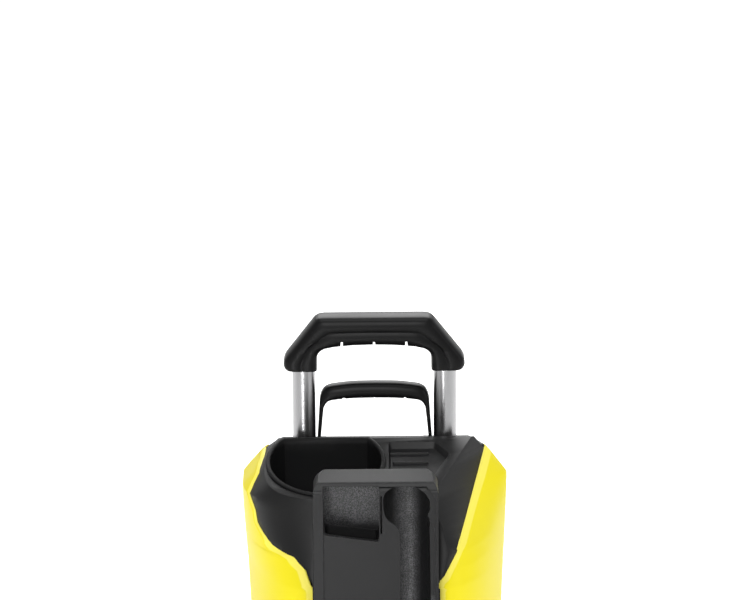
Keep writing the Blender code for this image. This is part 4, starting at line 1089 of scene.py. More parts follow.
def make_deck(shell):
    """The sloping deck with its crest, cheeks and storage tray."""
    deck = copy_of(shell, "deck_top")
    cut(deck, rear_region(0.6), side_region(RIGHT_SEAM, 1, 0.5), side_region(LEFT_SEAM, -1, 0.5))
    half = 67.4
    cut(deck, box("below", (-300, -300, 0), (300, 300, CONSOLE_TOP + 10)),
        box("holder_room", (-half, -200, CONSOLE_TOP - 30), (half, -57.6, 500)))
    cut(deck, prism("bottle_opening", cup_outline(CUP_RADIUS + 3.0), 380, 500))
    outline = rounded(TRAY_OUTLINE[::-1], 2.5, 4)
    floor = [(x, y, deck_z(y) - TRAY_DEPTH - 2.5) for x, y in outline]
    join(deck, loft("tray", [floor, on_deck(outline, -1)]))
    inner = rounded(shrunk(TRAY_OUTLINE[::-1], 2.0), 2.5, 4)
    slanted = rounded(shrunk(TRAY_OUTLINE[::-1], 4.2), 2.0, 4)
    cut(deck, loft("tray_hollow", [on_deck(slanted, -TRAY_DEPTH), on_deck(inner, 0.0), on_deck(inner, 20)]))
    bevelled(welded(deck, 0.05), 1.1, 2, 33)
    for x, y, length in TRAY_RIBS:
        outline = rounded([(x - length / 2, y - 1.6), (x + length / 2, y - 1.6), (x + length / 2, y + 1.6),
                           (x - length / 2, y + 1.6)], 1.5, 4)
        top = rounded([(x - length / 2 + 0.8, y - 0.8), (x + length / 2 - 0.8, y - 0.8),
                       (x + length / 2 - 0.8, y + 0.8), (x - length / 2 + 0.8, y + 0.8)], 0.8, 4)
        join(deck, loft("rib", [on_deck(outline, -TRAY_DEPTH - 1), on_deck(outline, 1.0 - TRAY_DEPTH),
                                on_deck(top, 1.8 - TRAY_DEPTH)]))
    smooth(deck, 30)
    dress(deck, "casing_black", "casing", "black_plastic", "deck_cover")


def make_bottle_cup():
    wall = CUP_RADIUS + 2.6
    rings = [[(x, y, 370) for x, y in cup_outline(wall)], on_deck(cup_outline(wall), -4),
             on_deck(cup_outline(wall), 0.2), on_deck(cup_outline(wall + 2.2), 0.4),
             on_deck(cup_outline(wall + 2.5), 1.0), on_deck(cup_outline(wall + 2.0), 1.9),
             on_deck(cup_outline(wall + 1.2), 2.4), on_deck(cup_outline(CUP_RADIUS + 0.8), 2.4),
             on_deck(cup_outline(CUP_RADIUS - 0.1), 1.6), on_deck(cup_outline(CUP_RADIUS - 0.4), -4),
             [(x, y, CUP_FLOOR_Z + 5) for x, y in cup_outline(CUP_RADIUS - 1)],
             [(x, y, CUP_FLOOR_Z + 1.4) for x, y in cup_outline(CUP_RADIUS - 2.2)],
             [(x, y, CUP_FLOOR_Z) for x, y in cup_outline(CUP_RADIUS - 5)]]
    rings.insert(0, [(x, y, CUP_FLOOR_Z - 2.6) for x, y in cup_outline(wall)])
    cup = loft("bottle_cup_liner", rings)
    cut(cup, rod("socket_hole", 10.4, (CUP_X, CUP_Y, CUP_FLOOR_Z - 10), (CUP_X, CUP_Y, CUP_FLOOR_Z + 10)))
    smooth(welded(cup), 42)
    dress(cup, "cup_black", "casing", "black_plastic", "bottle_cup")


# --- accessory holder ----------------------------------------------------------

HOLDER_HALF = 67.0
HOLDER_REAR = -58.0
HOLDER_TOP = 451.0
HOLDER_FACE = ((447, -90), (440, -99), (324, -109), (233, -127))
POCKET = (-56.3, 3.7)
POCKET_LIP_Z = 387.0
POCKET_TOP_Z = 445.5
POCKET_REAR = -62.5
HOLDER_LEVELS = (200, 233, 324, 440, 446)
HOLDER_SKIN = 4.0


def holder_face_y(z):
    return between(HOLDER_FACE, z)[0]


def ahead_of_face(name, depth):
    """All that lies ahead of a surface this deep behind the tower's face."""
    line = [(holder_face_y(z) + depth, z) for z in HOLDER_LEVELS]
    return prism(name, [(-170, HOLDER_LEVELS[-1]), (-170, HOLDER_LEVELS[0]), *line], -90, 90, "X")


def behind_face(name, depth):
    """All that lies behind a surface this deep behind the tower's face."""
    line = [(holder_face_y(z) + depth, z) for z in reversed(HOLDER_LEVELS)]
    return prism(name, [(0, HOLDER_LEVELS[0]), (0, HOLDER_LEVELS[-1]), *line], -90, 90, "X")


def holder_block():
    """The tower's solid form: its side outline and its rounded front outline, crossed."""
    face = [(y, z) for z, y in HOLDER_FACE]
    side = [(HOLDER_REAR, CONSOLE_TOP + 1), (face[-1][0], CONSOLE_TOP + 1), *reversed(face[1:-1]), face[0],
            (HOLDER_REAR + 4, HOLDER_TOP), (HOLDER_REAR, HOLDER_TOP - 2)]
    tower = prism("holder_tower", rounded(side, [0, 0, 20, 3, 3, 2, 0], 4), -HOLDER_HALF, HOLDER_HALF, "X")
    radius = 15.0
    front = [(HOLDER_HALF, 200), *arc((HOLDER_HALF - radius, HOLDER_TOP - radius), radius, 0, 90, 14)]
    keep(tower, prism("holder_front", front + mirrored(front), -300, 0, "Y"))
    return bevelled(welded(tower, 0.05), 3.2, 4, 40)


def cut_rebate(tower):
    """A shallow step round the pocket and the channel."""
    left = POCKET[0]
    outline = [(left, 200), (64.6, 200), (64.6, 430), (60, 438), (54, POCKET_TOP_Z - 2),
               (left + 3, POCKET_TOP_Z - 2), (left, POCKET_TOP_Z - 6)]
    rebate = prism("rebate", outline, -170, 0, "Y")
    cut(tower, keep(rebate, ahead_of_face("rebate_depth", 2.0)))


def cut_pocket(tower):
    """The gun pocket's mouth with its wavy lip, and the well below it."""
    (left, right), back = POCKET, POCKET_REAR
    lip = smooth_path([(right, POCKET_LIP_Z + 3), (right - 1.2, POCKET_LIP_Z - 1.2),
                       (right - 4, POCKET_LIP_Z - 2.4), (-28, POCKET_LIP_Z + 1.0),
                       (left + 5, POCKET_LIP_Z + 4.4), (left + 1, POCKET_LIP_Z + 5.6),
                       (left, POCKET_LIP_Z + 8)], 5)
    width = [(left, 420), (left - 0.2, POCKET_TOP_Z - 3), (left + 4, POCKET_TOP_Z + 6),
             (right - 4, POCKET_TOP_Z + 6), (right, POCKET_TOP_Z - 3), (right, 420)]
    depth = [(-150, 300), (-150, POCKET_TOP_Z - 1.5), (-94, POCKET_TOP_Z - 1.5), (-86, POCKET_TOP_Z - 0.5),
             (back - 6, POCKET_TOP_Z), (back, POCKET_TOP_Z - 6), (back, 300)]
    pocket = prism("gun_mouth", lip + width, -150, back, "Y")
    keep(pocket, prism("gun_depth", rounded(depth, [0, 0, 4, 4, 5, 5, 0], 4), -90, 90, "X"))
    cut(tower, welded(pocket))
    plan = [(left + 1.6, -96), (right - 1.6, -96), (right - 1.6, back - 1), (left + 1.6, back - 1)]
    cut(tower, prism("gun_well", rounded(plan, 5, 5), 300, POCKET_LIP_Z + 12))


def cut_channel(tower):
    """The leaning lance channel, open through the face between two wavy rims."""
    lean = Vector((0, -0.17, -1)).normalized()
    top = Vector((CHANNEL_X, -84, POCKET_TOP_Z - 2))
    foot = top + lean * ((top.z - CHANNEL_FLOOR_Z) / -lean.z)
    low_x, high_x = CHANNEL_X - CHANNEL_RADIUS + 0.3, CHANNEL_X + CHANNEL_RADIUS - 0.3
    bore = rod("channel", CHANNEL_RADIUS, foot, top, 72)
    cut(tower, keep(bore, behind_face("bore_room", HOLDER_SKIN)))
    mouth = [(-160, 406), (-160, POCKET_TOP_Z - 3), (-84, POCKET_TOP_Z - 2), (-84, 400)]
    cut(tower, keep(prism("channel_mouth", mouth, low_x, high_x, "X"),
                    behind_face("mouth_room", HOLDER_SKIN)))
    left_rim = smooth_path([(26, 262), (26, 385), (25.2, 395), (22.2, 401), (17.5, 404.6), (13, 408),
                            (9.6, 414), (low_x, 422), (low_x, 432), (low_x + 3.5, 439), (low_x + 12, 443)], 5)
    right_rim = smooth_path([(high_x - 16, 443), (high_x - 6.5, 438), (high_x, 428), (high_x + 0.2, 420),
                             (high_x - 2.5, 413), (high_x + 0.5, 407.5), (60.6, 402.6), (62.4, 397),
                             (63, 388), (63, 262)], 5)
    opening = prism("channel_opening", left_rim + right_rim, -170, 0, "Y")
    cut(tower, keep(opening, ahead_of_face("skin_layer", HOLDER_SKIN + 0.2)))
    slot = [(4.9, 393), (6.7, 393), (6.9, 424), (6.7, 434), (4.9, 434)]
    cut(tower, prism("divider_slot", slot, -160, -84, "Y"))


def make_holder():
    """The tower on the front, with the gun pocket and the lance channel."""
    tower = holder_block()
    cut_rebate(tower)
    cut_pocket(tower)
    cut_channel(tower)
    bevelled(welded(tower, 0.05), 0.9, 2, 55)
    weighted(smooth(tower, 32))
    dress(tower, "holder_grey", "casing", "black_plastic", "accessory_holder")
    tower.data.materials.append(finish_named("pocket_grain_highlight"))
    for face in tower.data.polygons:
        spot = face.center / METRES
        deep_enough = holder_face_y(spot.z) + 2.5 < spot.y < POCKET_REAR + 0.6
        across = POCKET[0] - 1 < spot.x < CHANNEL_X + CHANNEL_RADIUS + 0.7
        if deep_enough and across and CHANNEL_FLOOR_Z - 3 < spot.z < POCKET_TOP_Z + 1:
            face.material_index = 1


# --- covers --------------------------------------------------------------------

KNOB_X, KNOB_Z, KNOB_RADIUS, KNOB_HEIGHT = 31.0, 186.0, 24.0, 17.0
OUTLET_X, OUTLET_Z, OUTLET_RADIUS = -31.0, 150.0, 15.0
INLET_X, INLET_Z = -52.0, 150.0
GLAND_X, GLAND_Z = 52.0, 96.0


def console_normal():
    low, high = Vector((front_y(130), 130)), Vector((front_y(200), 200))
    run = (high - low).normalized()
    return Vector((0, -run.y, run.x))


def console_point(x, z, out):
    """A point this far out from the console's sloping face."""
    return Vector((x, front_y(z), z)) + console_normal() * out


def on_console(obj, seat):
    """Stands a piece made flat at the origin on the console: x across, y up the slope, z out."""
    out = console_normal()
    up = out.cross(Vector((1, 0, 0)))
    turn = Matrix(((1, up.x, out.x), (0, up.y, out.y), (0, up.z, out.z))).to_4x4()
    obj.data.transform(Matrix.Translation(seat * METRES) @ turn)
    return obj


def make_lower_cover(shell):
    cover = copy_of(shell, "lower_front_panel")
    half = SEAM_X - 0.6
    keep(cover, box("console", (-half, -300, 0), (half, 0, CONSOLE_TOP)))
    cut(cover, rod("knob_hole", 7, console_point(KNOB_X, KNOB_Z, -20), console_point(KNOB_X, KNOB_Z, 20)))
    cut(cover, rod("outlet_hole", OUTLET_RADIUS + 0.4, console_point(OUTLET_X, OUTLET_Z, -20),
                   console_point(OUTLET_X, OUTLET_Z, 20)))
    bevelled(welded(cover, 0.05), 1.2, 3, 40)
    recess = on_console(turned("dial", ((0, -0.8), (30, -0.8), (31.2, 0.6), (31.2, 8), (0, 8))),
                        console_point(KNOB_X, KNOB_Z, 0))
    cut(cover, recess)
    for k in range(4):
        outline = rounded([(-58, -0.9), (58, -0.9), (58, 0.9), (-58, 0.9)], 0.9, 4)
        groove = on_console(prism("groove", outline, -0.9, 6), console_point(0, 62 + 9 * k, 0) )
        cut(cover, groove)
    smooth(cover, 30)
    dress(cover, "casing_black", "casing", "black_plastic", "lower_front_cover")


def make_rear_cover(shell):
    cover = keep(copy_of(shell, "rear_panel"), rear_region(0.0))
    bevelled(welded(cover, 0.05), 0.9, 2, 36)
    for side in (-1, 1):
        cut(cover, wheel_arch(side))
        cut(cover, rod("tube_hole", TUBE_RADIUS + 1.9, (side * TUBE_X, TUBE_Y, 400),
                       (side * TUBE_X, TUBE_Y, 500)))
    for row in range(6):
        z = 190 + 9 * row
        slot = rounded([(-42, z), (42, z), (42, z + 4), (-42, z + 4)], 1.9, 4)
        cut(cover, prism("vent", slot, CASING_REAR - 20, CASING_REAR + 20, "Y"))
    cut(cover, rod("inlet_hole", 14.4, (INLET_X, 90, INLET_Z), (INLET_X, 140, INLET_Z)))
    cut(cover, rod("gland_hole", 9.4, (GLAND_X, 90, GLAND_Z), (GLAND_X, 140, GLAND_Z)))
    for x in (-60, 60):
        groove = prism("groove", rounded([(x - 1, 180), (x + 1, 180), (x + 1, 405), (x - 1, 405)], 0.9, 3),
                       CASING_REAR - 0.9, CASING_REAR + 6, "Y")
        cut(cover, groove)
    smooth(cover, 30)
    dress(cover, "casing_black", "casing", "black_plastic", "rear_cover")


def screw_tree():
    """Geometry Nodes that set a screw head on every point of a mesh, turned at random."""
    tree = bpy.data.node_groups.new("screw heads", "GeometryNodeTree")
    sockets(tree, Geometry="Geometry", Screw="Object", Seed="Int", Material="Material")
    nodes, link = tree.nodes, tree.links.new
    entry, leave = nodes.new("NodeGroupInput"), nodes.new("NodeGroupOutput")
    head = nodes.new("GeometryNodeObjectInfo")
    link(entry.outputs["Screw"], head.inputs["Object"])
    turn = nodes.new("FunctionNodeRandomValue")
    turn.inputs[3].default_value = 2 * math.pi
    link(entry.outputs["Seed"], turn.inputs["Seed"])
    about = nodes.new("ShaderNodeCombineXYZ")
    link(turn.outputs[1], about.inputs["Y"])
    placed = nodes.new("GeometryNodeInstanceOnPoints")
    link(entry.outputs["Geometry"], placed.inputs["Points"])
    link(head.outputs["Geometry"], placed.inputs["Instance"])
    link(about.outputs[0], placed.inputs["Rotation"])
    return finished_tree(tree, placed, entry, leave)


def make_screws():
    """Screw heads in shallow rings on the rear cover, as looks only."""
    head = turned("screw_head", ((0, -0.2), (4.6, -0.2), (4.6, 0.6), (4.1, 1.2), (2.4, 1.6), (2.2, 0.5),
                                 (0, 0.5)),
                  (0, 0, 0), (0, 1, 0), 32)
    spots = [(x, CASING_REAR + 0.35, z) for z in (62, 176, 300, 410) for x in (-96, 96)]
    spots = [(x if z > 170 or abs(x) < 90 else math.copysign(84, x), y, z) for x, y, z in spots]
    points = bpy.data.meshes.new("screw_points")
    points.from_pydata([Vector(p) * METRES for p in spots], [], [])
    holder = bpy.data.objects.new("cover_screws", points)
    bpy.context.scene.collection.objects.link(holder)
    screws = from_tree("cover_screws", screw_tree(),
                       {"Screw": head, "Seed": 4, "Material": finish_named("turned_steel")}, holder)
    bpy.data.objects.remove(head)
    smooth(screws, 35)
    dress(screws, "turned_steel", "casing", "steel")


# --- base, wheels and feet -----------------------------------------------------

def wheel_profile(width):
    """Half section of the wheel as (radius, distance from its inner side)."""
    rim = width - 11
    tread = [(WHEEL_RADIUS - 6, 0.0), (WHEEL_RADIUS - 2.5, 1.6), (WHEEL_RADIUS - 0.6, 5.0), (WHEEL_RADIUS, 9),
             (WHEEL_RADIUS, width - 9), (WHEEL_RADIUS - 0.6, width - 5), (WHEEL_RADIUS - 2.5, width - 1.6),
             (WHEEL_RADIUS - 6, width), (WHEEL_RADIUS - 10, width - 0.4), (70, width - 0.8),
             (68.5, width - 2.4),
             (67.5, width - 0.9), (65.5, width - 1.2), (64, width - 2.5)]
    disc = [(62.5, rim + 1.5), (60, rim), (40, rim - 0.6), (27, rim), (25.5, rim + 1.6), (24.2, rim + 1.6),
            (23.6, rim),
            (6.4, rim), (6.4, 2), (14, 2), (14, 9), (61, 9), (64, 7), (67, 2), (69, 0.4)]
    return tread + disc


def make_wheels():
    for side, hand in ((1, "right"), (-1, "left")):
        low, high = node_box(hand + "_wheel")
        inner = low.x if side > 0 else high.x
        width = high.x - low.x
        body = hand + "_wheel_set"
        tyre = turned(hand + "_rolling_wheel", wheel_profile(width),
                      (inner, WHEEL_Y, WHEEL_RADIUS), (side, 0, 0), 120)
        smooth(tyre, 32)
        for k in range(5):
            angle = 2 * math.pi * k / 5 + 0.3
            outline = [(29 * math.cos(angle + t), 29 * math.sin(angle + t)) for t in (-0.36, 0, 0.36)]
            outline += [(55 * math.cos(angle + t), 55 * math.sin(angle + t)) for t in (0.4, 0.2, 0, -0.2,
                                                                                       -0.4)]
            outline = [(WHEEL_Y + a, WHEEL_RADIUS + b) for a, b in rounded(outline, 4, 3)]
            start, end = sorted((inner + side * (width - 12.6), inner + side * (width + 2)))
            cut(tyre, prism("recess", outline, start, end, "X"))
        smooth(tyre, 32)
        dress(tyre, "tyre_rubber", body, "black_plastic", hand + "_wheel")
        block = bevelled(box("block", (0, -2.2, -0.4), (width * 0.34, 2.2, 0.9)), 0.35, 2)
        block.data.transform(Matrix.Translation(Vector((1.2, 0, 0)) * METRES))
        tread = from_tree(hand + "_tyre_tread", tread_tree(), {
            "Block": block, "Count": 56, "Radius": (WHEEL_RADIUS - 0.9) * METRES,
            "Material": finish_named("tyre_rubber")})
        bpy.data.objects.remove(block)
        middle = Vector((inner + side * width / 2, WHEEL_Y, WHEEL_RADIUS))
        tread.data.transform(Matrix.Translation(middle * METRES))
        smooth(tread, 30)
        dress(tread, "tyre_rubber", body, "black_plastic")
        cap = turned(hand + "_cap", (
            (0, width - 6), (18, width - 6), (18, width - 10.6), (23, width - 10.6), (23, width - 4.6),
            (22.3, width - 3.4),
            (20.6, width - 2.4), (17, width - 1.2), (15.6, width - 1.0), (15.0, width - 1.8),
            (14.0, width - 1.8),
            (13.4, width - 0.7), (8, width - 0.2), (0, width)),
            (inner, WHEEL_Y, WHEEL_RADIUS), (side, 0, 0), 72)
        smooth(cap, 30)
        dress(cap, "accent_yellow", body, "yellow_plastic", hand + "_hub_cap")


def tread_tree():
    """Geometry Nodes that stand tread blocks in two staggered rows round a wheel along X."""
    tree = bpy.data.node_groups.new("tyre tread", "GeometryNodeTree")
    sockets(tree, Block="Object", Count="Int", Radius="Float", Material="Material")
    nodes, link = tree.nodes, tree.links.new
    entry, leave = nodes.new("NodeGroupInput"), nodes.new("NodeGroupOutput")
    block = nodes.new("GeometryNodeObjectInfo")
    link(entry.outputs["Block"], block.inputs["Object"])
    both = nodes.new("GeometryNodeJoinGeometry")
    for offset, mirror in ((0.0, 1.0), (0.5, -1.0)):
        line = nodes.new("GeometryNodeMeshLine")
        link(entry.outputs["Count"], line.inputs["Count"])
        line.inputs["Offset"].default_value = (0, 0, 0)
        index = nodes.new("GeometryNodeInputIndex")
        shifted = nodes.new("ShaderNodeMath")
        shifted.operation = "ADD"
        link(index.outputs[0], shifted.inputs[0])
        shifted.inputs[1].default_value = offset
        share = nodes.new("ShaderNodeMath")
        share.operation = "DIVIDE"
        link(shifted.outputs[0], share.inputs[0])
        link(entry.outputs["Count"], share.inputs[1])
        angle = nodes.new("ShaderNodeMath")
        angle.operation = "MULTIPLY"
        link(share.outputs[0], angle.inputs[0])
        angle.inputs[1].default_value = 2 * math.pi
        spin = nodes.new("ShaderNodeCombineXYZ")
        link(angle.outputs[0], spin.inputs["X"])
        arm = nodes.new("ShaderNodeCombineXYZ")
        link(entry.outputs["Radius"], arm.inputs["Z"])
        swung = nodes.new("ShaderNodeVectorRotate")
        swung.rotation_type = "X_AXIS"
        link(arm.outputs[0], swung.inputs["Vector"])
        link(angle.outputs[0], swung.inputs["Angle"])
        placed = nodes.new("GeometryNodeSetPosition")
        link(line.outputs[0], placed.inputs["Geometry"])
        link(swung.outputs[0], placed.inputs["Position"])
        blocks = nodes.new("GeometryNodeInstanceOnPoints")
        link(placed.outputs[0], blocks.inputs["Points"])
        link(block.outputs["Geometry"], blocks.inputs["Instance"])
        link(spin.outputs[0], blocks.inputs["Rotation"])
        if mirror < 0:
            turned_round = nodes.new("GeometryNodeTransform")
            turned_round.inputs["Rotation"].default_value = (0, 0, math.pi)
            link(blocks.outputs[0], turned_round.inputs["Geometry"])
            link(turned_round.outputs[0], both.inputs[0])
        else:
            link(blocks.outputs[0], both.inputs[0])
    return finished_tree(tree, both, entry, leave)


def make_feet():
    for hand in ("right", "left"):
        low, high = node_box(hand + "_foot")
        centre = ((low.x + high.x) / 2, (low.y + high.y) / 2, 0)
        top = high.z
        foot = turned(hand + "_rubber_foot", ((0, 0), (11.5, 0), (13, 0.8), (14.4, 2), (14.8, 3.4),
                                              (14.2, 5), (13.4, 6),
                                              (13.6, 7), (13.2, 9), (12.6, top - 1), (12.2, top), (0, top)),
                                              centre)
        smooth(foot, 40)
        dress(foot, "tyre_rubber", "casing", "soft_grip", hand + "_foot")


# --- fittings ------------------------------------------------------------------

def make_knob():
    seat = console_point(KNOB_X, KNOB_Z, 0)
    r = KNOB_RADIUS
    knob = turned("switch_dial", ((0, -14), (6, -14), (6, 1.2), (r - 0.8, 1.2), (r, 2.0), (r, 5.6),
                                  (r - 0.6, 6.6), (r - 2.6, 7.6),
                                  (r - 4, 7.8), (0, 7.8)), (0, 0, 0), (0, 0, 1), 96)
    blade = bevelled(box("blade", (-5, 3 - r, 6), (5, r - 3, KNOB_HEIGHT)), 2.2, 4)
    join(knob, blade)
    for k in range(30):
        angle = 2 * math.pi * k / 30
        cut(knob, rod("flute", 0.9, (r * math.cos(angle) * 1.012, r * math.sin(angle) * 1.012, 0.5),
                      (r * math.cos(angle) * 1.012, r * math.sin(angle) * 1.012, 9), 10))
    cut(knob, box("pointer", (-0.7, r - 12, KNOB_HEIGHT - 0.7), (0.7, r - 5, KNOB_HEIGHT + 3)))
    on_console(knob, seat)
    smooth(welded(knob), 32)
    dress(knob, "accent_yellow", "power_switch", "yellow_plastic", "switch_knob")


def make_outlet():
    seat = console_point(OUTLET_X, OUTLET_Z, 0)
    r = OUTLET_RADIUS
    outlet = turned("outlet_coupling", (
        (7, -14), (r - 4, -14), (r, -10), (r, 0.4), (20.4, 0.4), (21, 1), (21, 4), (20.2, 5.2), (18.4, 7.6),
        (17.9, 9),
        (17.6, 11), (16.9, 11.6), (16.9, 13), (17.3, 13.8), (17.0, 16), (16.2, 16.6), (16.2, 18),
        (16.6, 18.8), (16.1, 23),
        (15.2, 24), (13, 24), (12, 23), (12, 4), (7, 2)), (0, 0, 0), (0, 0, 1), 72)
    join(outlet, bevelled(box("lock_housing", (-10, 15, 2), (10, 27, 17)), 1.6, 3))
    cut(outlet, box("lock_pocket", (-7, 20, 5.5), (7, 40, 13.5)))
    on_console(outlet, seat)
    smooth(welded(outlet), 32)
    dress(outlet, "fitting_black", "casing", "black_plastic", "pressure_outlet")
    lock = bevelled(box("outlet_release", (-6.6, 23.4, 5.9), (6.6, 31, 13.1)), 0.9, 3)
    for k in (-1, 0, 1):
        cut(lock, box("groove", (-5, 30.4, 9.1 + 1.9 * k), (5, 32, 9.9 + 1.9 * k)))
    on_console(lock, seat)
    smooth(lock, 30)
    dress(lock, "accent_yellow", "hose_lock_button", "yellow_plastic", "outlet_lock")


def make_inlet_and_gland():
    start = CASING_REAR - 3.0
    inlet = turned("garden_inlet", (
        (7, -16), (10, -16), (10, -4.2), (14, -4.2), (14, 3.4), (18, 3.4), (18, 5.6), (17.2, 6.5),
        (11.6, 6.9), (10.2, 8.2),
        (9.5, 10), (9.5, 13), (10.1, 14.5), (11, 15.6), (11, 17), (10.4, 17.6), (10.4, 18.6), (11, 19.2),
        (11, 24), (10.4, 25.4), (9.5, 26), (7, 26),
    ), (INLET_X, start, INLET_Z), (0, 1, 0), 72)
    smooth(inlet, 34)
    dress(inlet, "fitting_black", "casing", "black_plastic", "water_inlet")
    profile = [(4, -10), (7, -10), (9, -8), (9, 3.4), (13, 3.4), (13, 5.2), (12, 6.2), (9.4, 6.8)]
    for k in range(6):
        base, size = 8.2 + 3.4 * k, 9.0 - 0.42 * k
        profile += [(size, base), (size, base + 2.0), (size - 1.4, base + 2.5), (size - 1.4, base + 3.1)]
    profile += [(6.5, 29.2), (6.0, 30), (4, 30)]
    gland = turned("cord_strain_relief", profile, (GLAND_X, start, GLAND_Z), (0, 1, 0), 48)
    smooth(gland, 34)
    dress(gland, "soft_grip", "casing", "soft_grip", "cable_gland")


def hook_outline(root_y, low, high, reach, thick, tip):
    """A J-shaped hook seen from the side, as (y, z)."""
    end = root_y + reach
    return [(root_y, low), (end - thick * 0.6, low), *arc((end - thick, low + thick), thick, -70, 0, 7),
            (end, low + tip), (end - thick * 0.8, low + tip), (end - thick * 0.9, low + thick * 1.3),
            (root_y + thick * 1.3, low + thick * 1.3), (root_y + thick * 0.7, low + thick * 2),
            (root_y + thick * 0.6, high), (root_y, high)]


def make_hooks():
    root = CASING_REAR + 0.4
    hose = prism("hose_holder", rounded(hook_outline(root, 318, 402, 190 - root, 10, 44), 3.5, 4), -34, 34,
                 "X")
    bevelled(welded(hose), 2.0, 3)
    smooth(hose, 32)
    dress(hose, "casing_black", "casing", "black_plastic", "hose_hook")
    outline = [(y, 240 - z) for y, z in hook_outline(root, 96, 150, 44, 7, 30)]
    lower = bevelled(welded(prism("cord_holder_lower", rounded(outline, 2.4, 4), -14, 14, "X")), 1.6, 3)
    smooth(lower, 32)
    dress(lower, "casing_black", "casing", "black_plastic", "cord_hook_lower")
    outline = hook_outline(root + 7.5, 262, 278, 36.5, 7, 30)
    upper = bevelled(welded(prism("cord_holder_upper", rounded(outline, 2.0, 4), -14, 14, "X")), 1.6, 3)
    base = turned("swivel", ((0, 0), (16.4, 0), (17, 0.6), (17, 6.6), (16, 7.8), (0, 7.8)),
                  (0, root + 1.2, 268), (0, 1, 0), 64)
    join(upper, base)
    smooth(welded(upper), 32)
    dress(upper, "casing_black", "cord_hook", "black_plastic", "cord_hook_upper")


INNER_FINISHES = {
    "base_chassis": "base_black", "motor_housing": "fitting_black", "switch_block": "fitting_black",
    "left_guide_tube": "fitting_black", "right_guide_tube": "fitting_black",
    "left_tube_foot": "fitting_black", "right_tube_foot": "fitting_black",
    "detergent_socket": "fitting_black",
    "left_guide_bush": "pale_plastic", "right_guide_bush": "pale_plastic", "fan": "pale_plastic",
    "capacitor": "pale_plastic",
    "stator": "copper_windings", "gear_housing": "cast_aluminium", "cylinder_block": "brass",
    "valve_head": "brass",
    "inlet_pipe": "tyre_rubber", "detergent_hose": "tyre_rubber",
}


def dress_inner_nodes():
    """Finishes for the CAD nodes that stay: steel, unless the table above says otherwise."""
    for name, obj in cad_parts.items():
        finish = finish_named(INNER_FINISHES.get(name, "turned_steel"))
        if obj.material_slots:
            for slot in obj.material_slots:
                slot.material = finish
        else:
            obj.data.materials.append(finish)


# --- stage ---------------------------------------------------------------------

def area_light(name, place, aim, size, power, shape="RECTANGLE"):
    lamp = bpy.data.lights.new(name, "AREA")
    lamp.shape = shape
    lamp.size, lamp.size_y = size
    lamp.energy = power
    obj = bpy.data.objects.new(name, lamp)
    bpy.context.scene.collection.objects.link(obj)
    place = Vector(place)
    turn = (Vector(aim) - place).to_track_quat("-Z", "Y").to_matrix().to_4x4()
    obj.matrix_world = Matrix.Translation(place) @ turn
    obj.visible_camera = False
    return obj


def make_stage():
    scene = bpy.context.scene
    scene.view_settings.view_transform = "Standard"
    setup = scene.washer_stage
    floor = bpy.data.meshes.new("floor")
    reach = 14.0
    floor.from_pydata([(-reach, -reach, 0), (reach, -reach, 0), (reach, reach, 0), (-reach, reach, 0)], [],
                      [(0, 1, 2, 3)])
    ground = bpy.data.objects.new("floor", floor)
    scene.collection.objects.link(ground)
    recipe = Recipe("pale_floor", (0.9, 0.9, 0.9))
    cloud = recipe.noise(1.5, 2.0)
    recipe.finish(recipe.mix(cloud, (0.90, 0.90, 0.90), (0.94, 0.94, 0.94)), (0.75 + cloud * 0.1).limited(),
                  Emission_Strength=setup.floor_glow)
    # The floor glows as painted light, dim in front of the machine and full behind it.
    depth = recipe.node("ShaderNodeSeparateXYZ", None, {"Vector": recipe.place()}).outputs["Y"]
    recipe.feed(recipe.shader.inputs["Emission Color"],
                recipe.mix(Signal(recipe, depth).step(-1.2, 0.8), (0.35, 0.35, 0.35), (1.0, 1.0, 1.0)))
    ground.data.materials.append(recipe.material)
    world = bpy.data.worlds.new("studio")
    world.use_nodes = True
    sky = world.node_tree.nodes["Background"]
    sky.inputs["Color"].default_value = (1, 1, 1, 1)
    sky.inputs["Strength"].default_value = setup.sky
    scene.world = world
    area_light("overhead", (0, -0.2, 2.9), (0, 0.1, 0.4), (2.2, 1.6), setup.key * 0.6)
    area_light("front", (-0.35, -3.7, 2.3), (0, 0, 0.45), (0.7, 1.6), setup.key * 1.15)
    area_light("low_strip", (-0.33, -1.3, 0.16), (0, 0, 0.45), (0.12, 0.3), setup.key * 0.05)
    area_light("side_left", (-3.0, -1.2, 1.5), (0, 0, 0.4), (1.0, 1.8), setup.key * 0.04)
    area_light("side_right", (3.0, -1.4, 1.5), (0, 0, 0.4), (1.0, 1.8), setup.key * 0.25)
    area_light("back", (0, 3.0, 2.2), (0, 0, 0.45), (2.4, 2.4), setup.key * 1.25)
    area_light("back_left", (-2.4, 1.8, 1.6), (0, 0, 0.45), (1.0, 1.6), setup.key * 0.15)
    area_light("back_right", (2.4, 1.8, 1.6), (0, 0, 0.45), (1.0, 1.6), setup.key * 0.15)
    lens = bpy.data.cameras.new("camera")
    lens.lens, lens.sensor_width = 203.6, 36
    lens.clip_end = 100
    camera = bpy.data.objects.new("camera", lens)
    scene.collection.objects.link(camera)
    target, pitch, distance = Vector((-0.0095, 0.088, 0.5991)), math.radians(setup.pitch), 4.54
    forward = Vector((0, math.cos(pitch), -math.sin(pitch)))
    level = Matrix.Rotation(math.radians(-0.5), 4, "Z")
    camera.matrix_world = (Matrix.Translation(target - forward * distance)
                           @ forward.to_track_quat("-Z", "Y").to_matrix().to_4x4() @ level)
    scene.camera = camera


# --- the add-on's properties, operators and panel --------------------------------

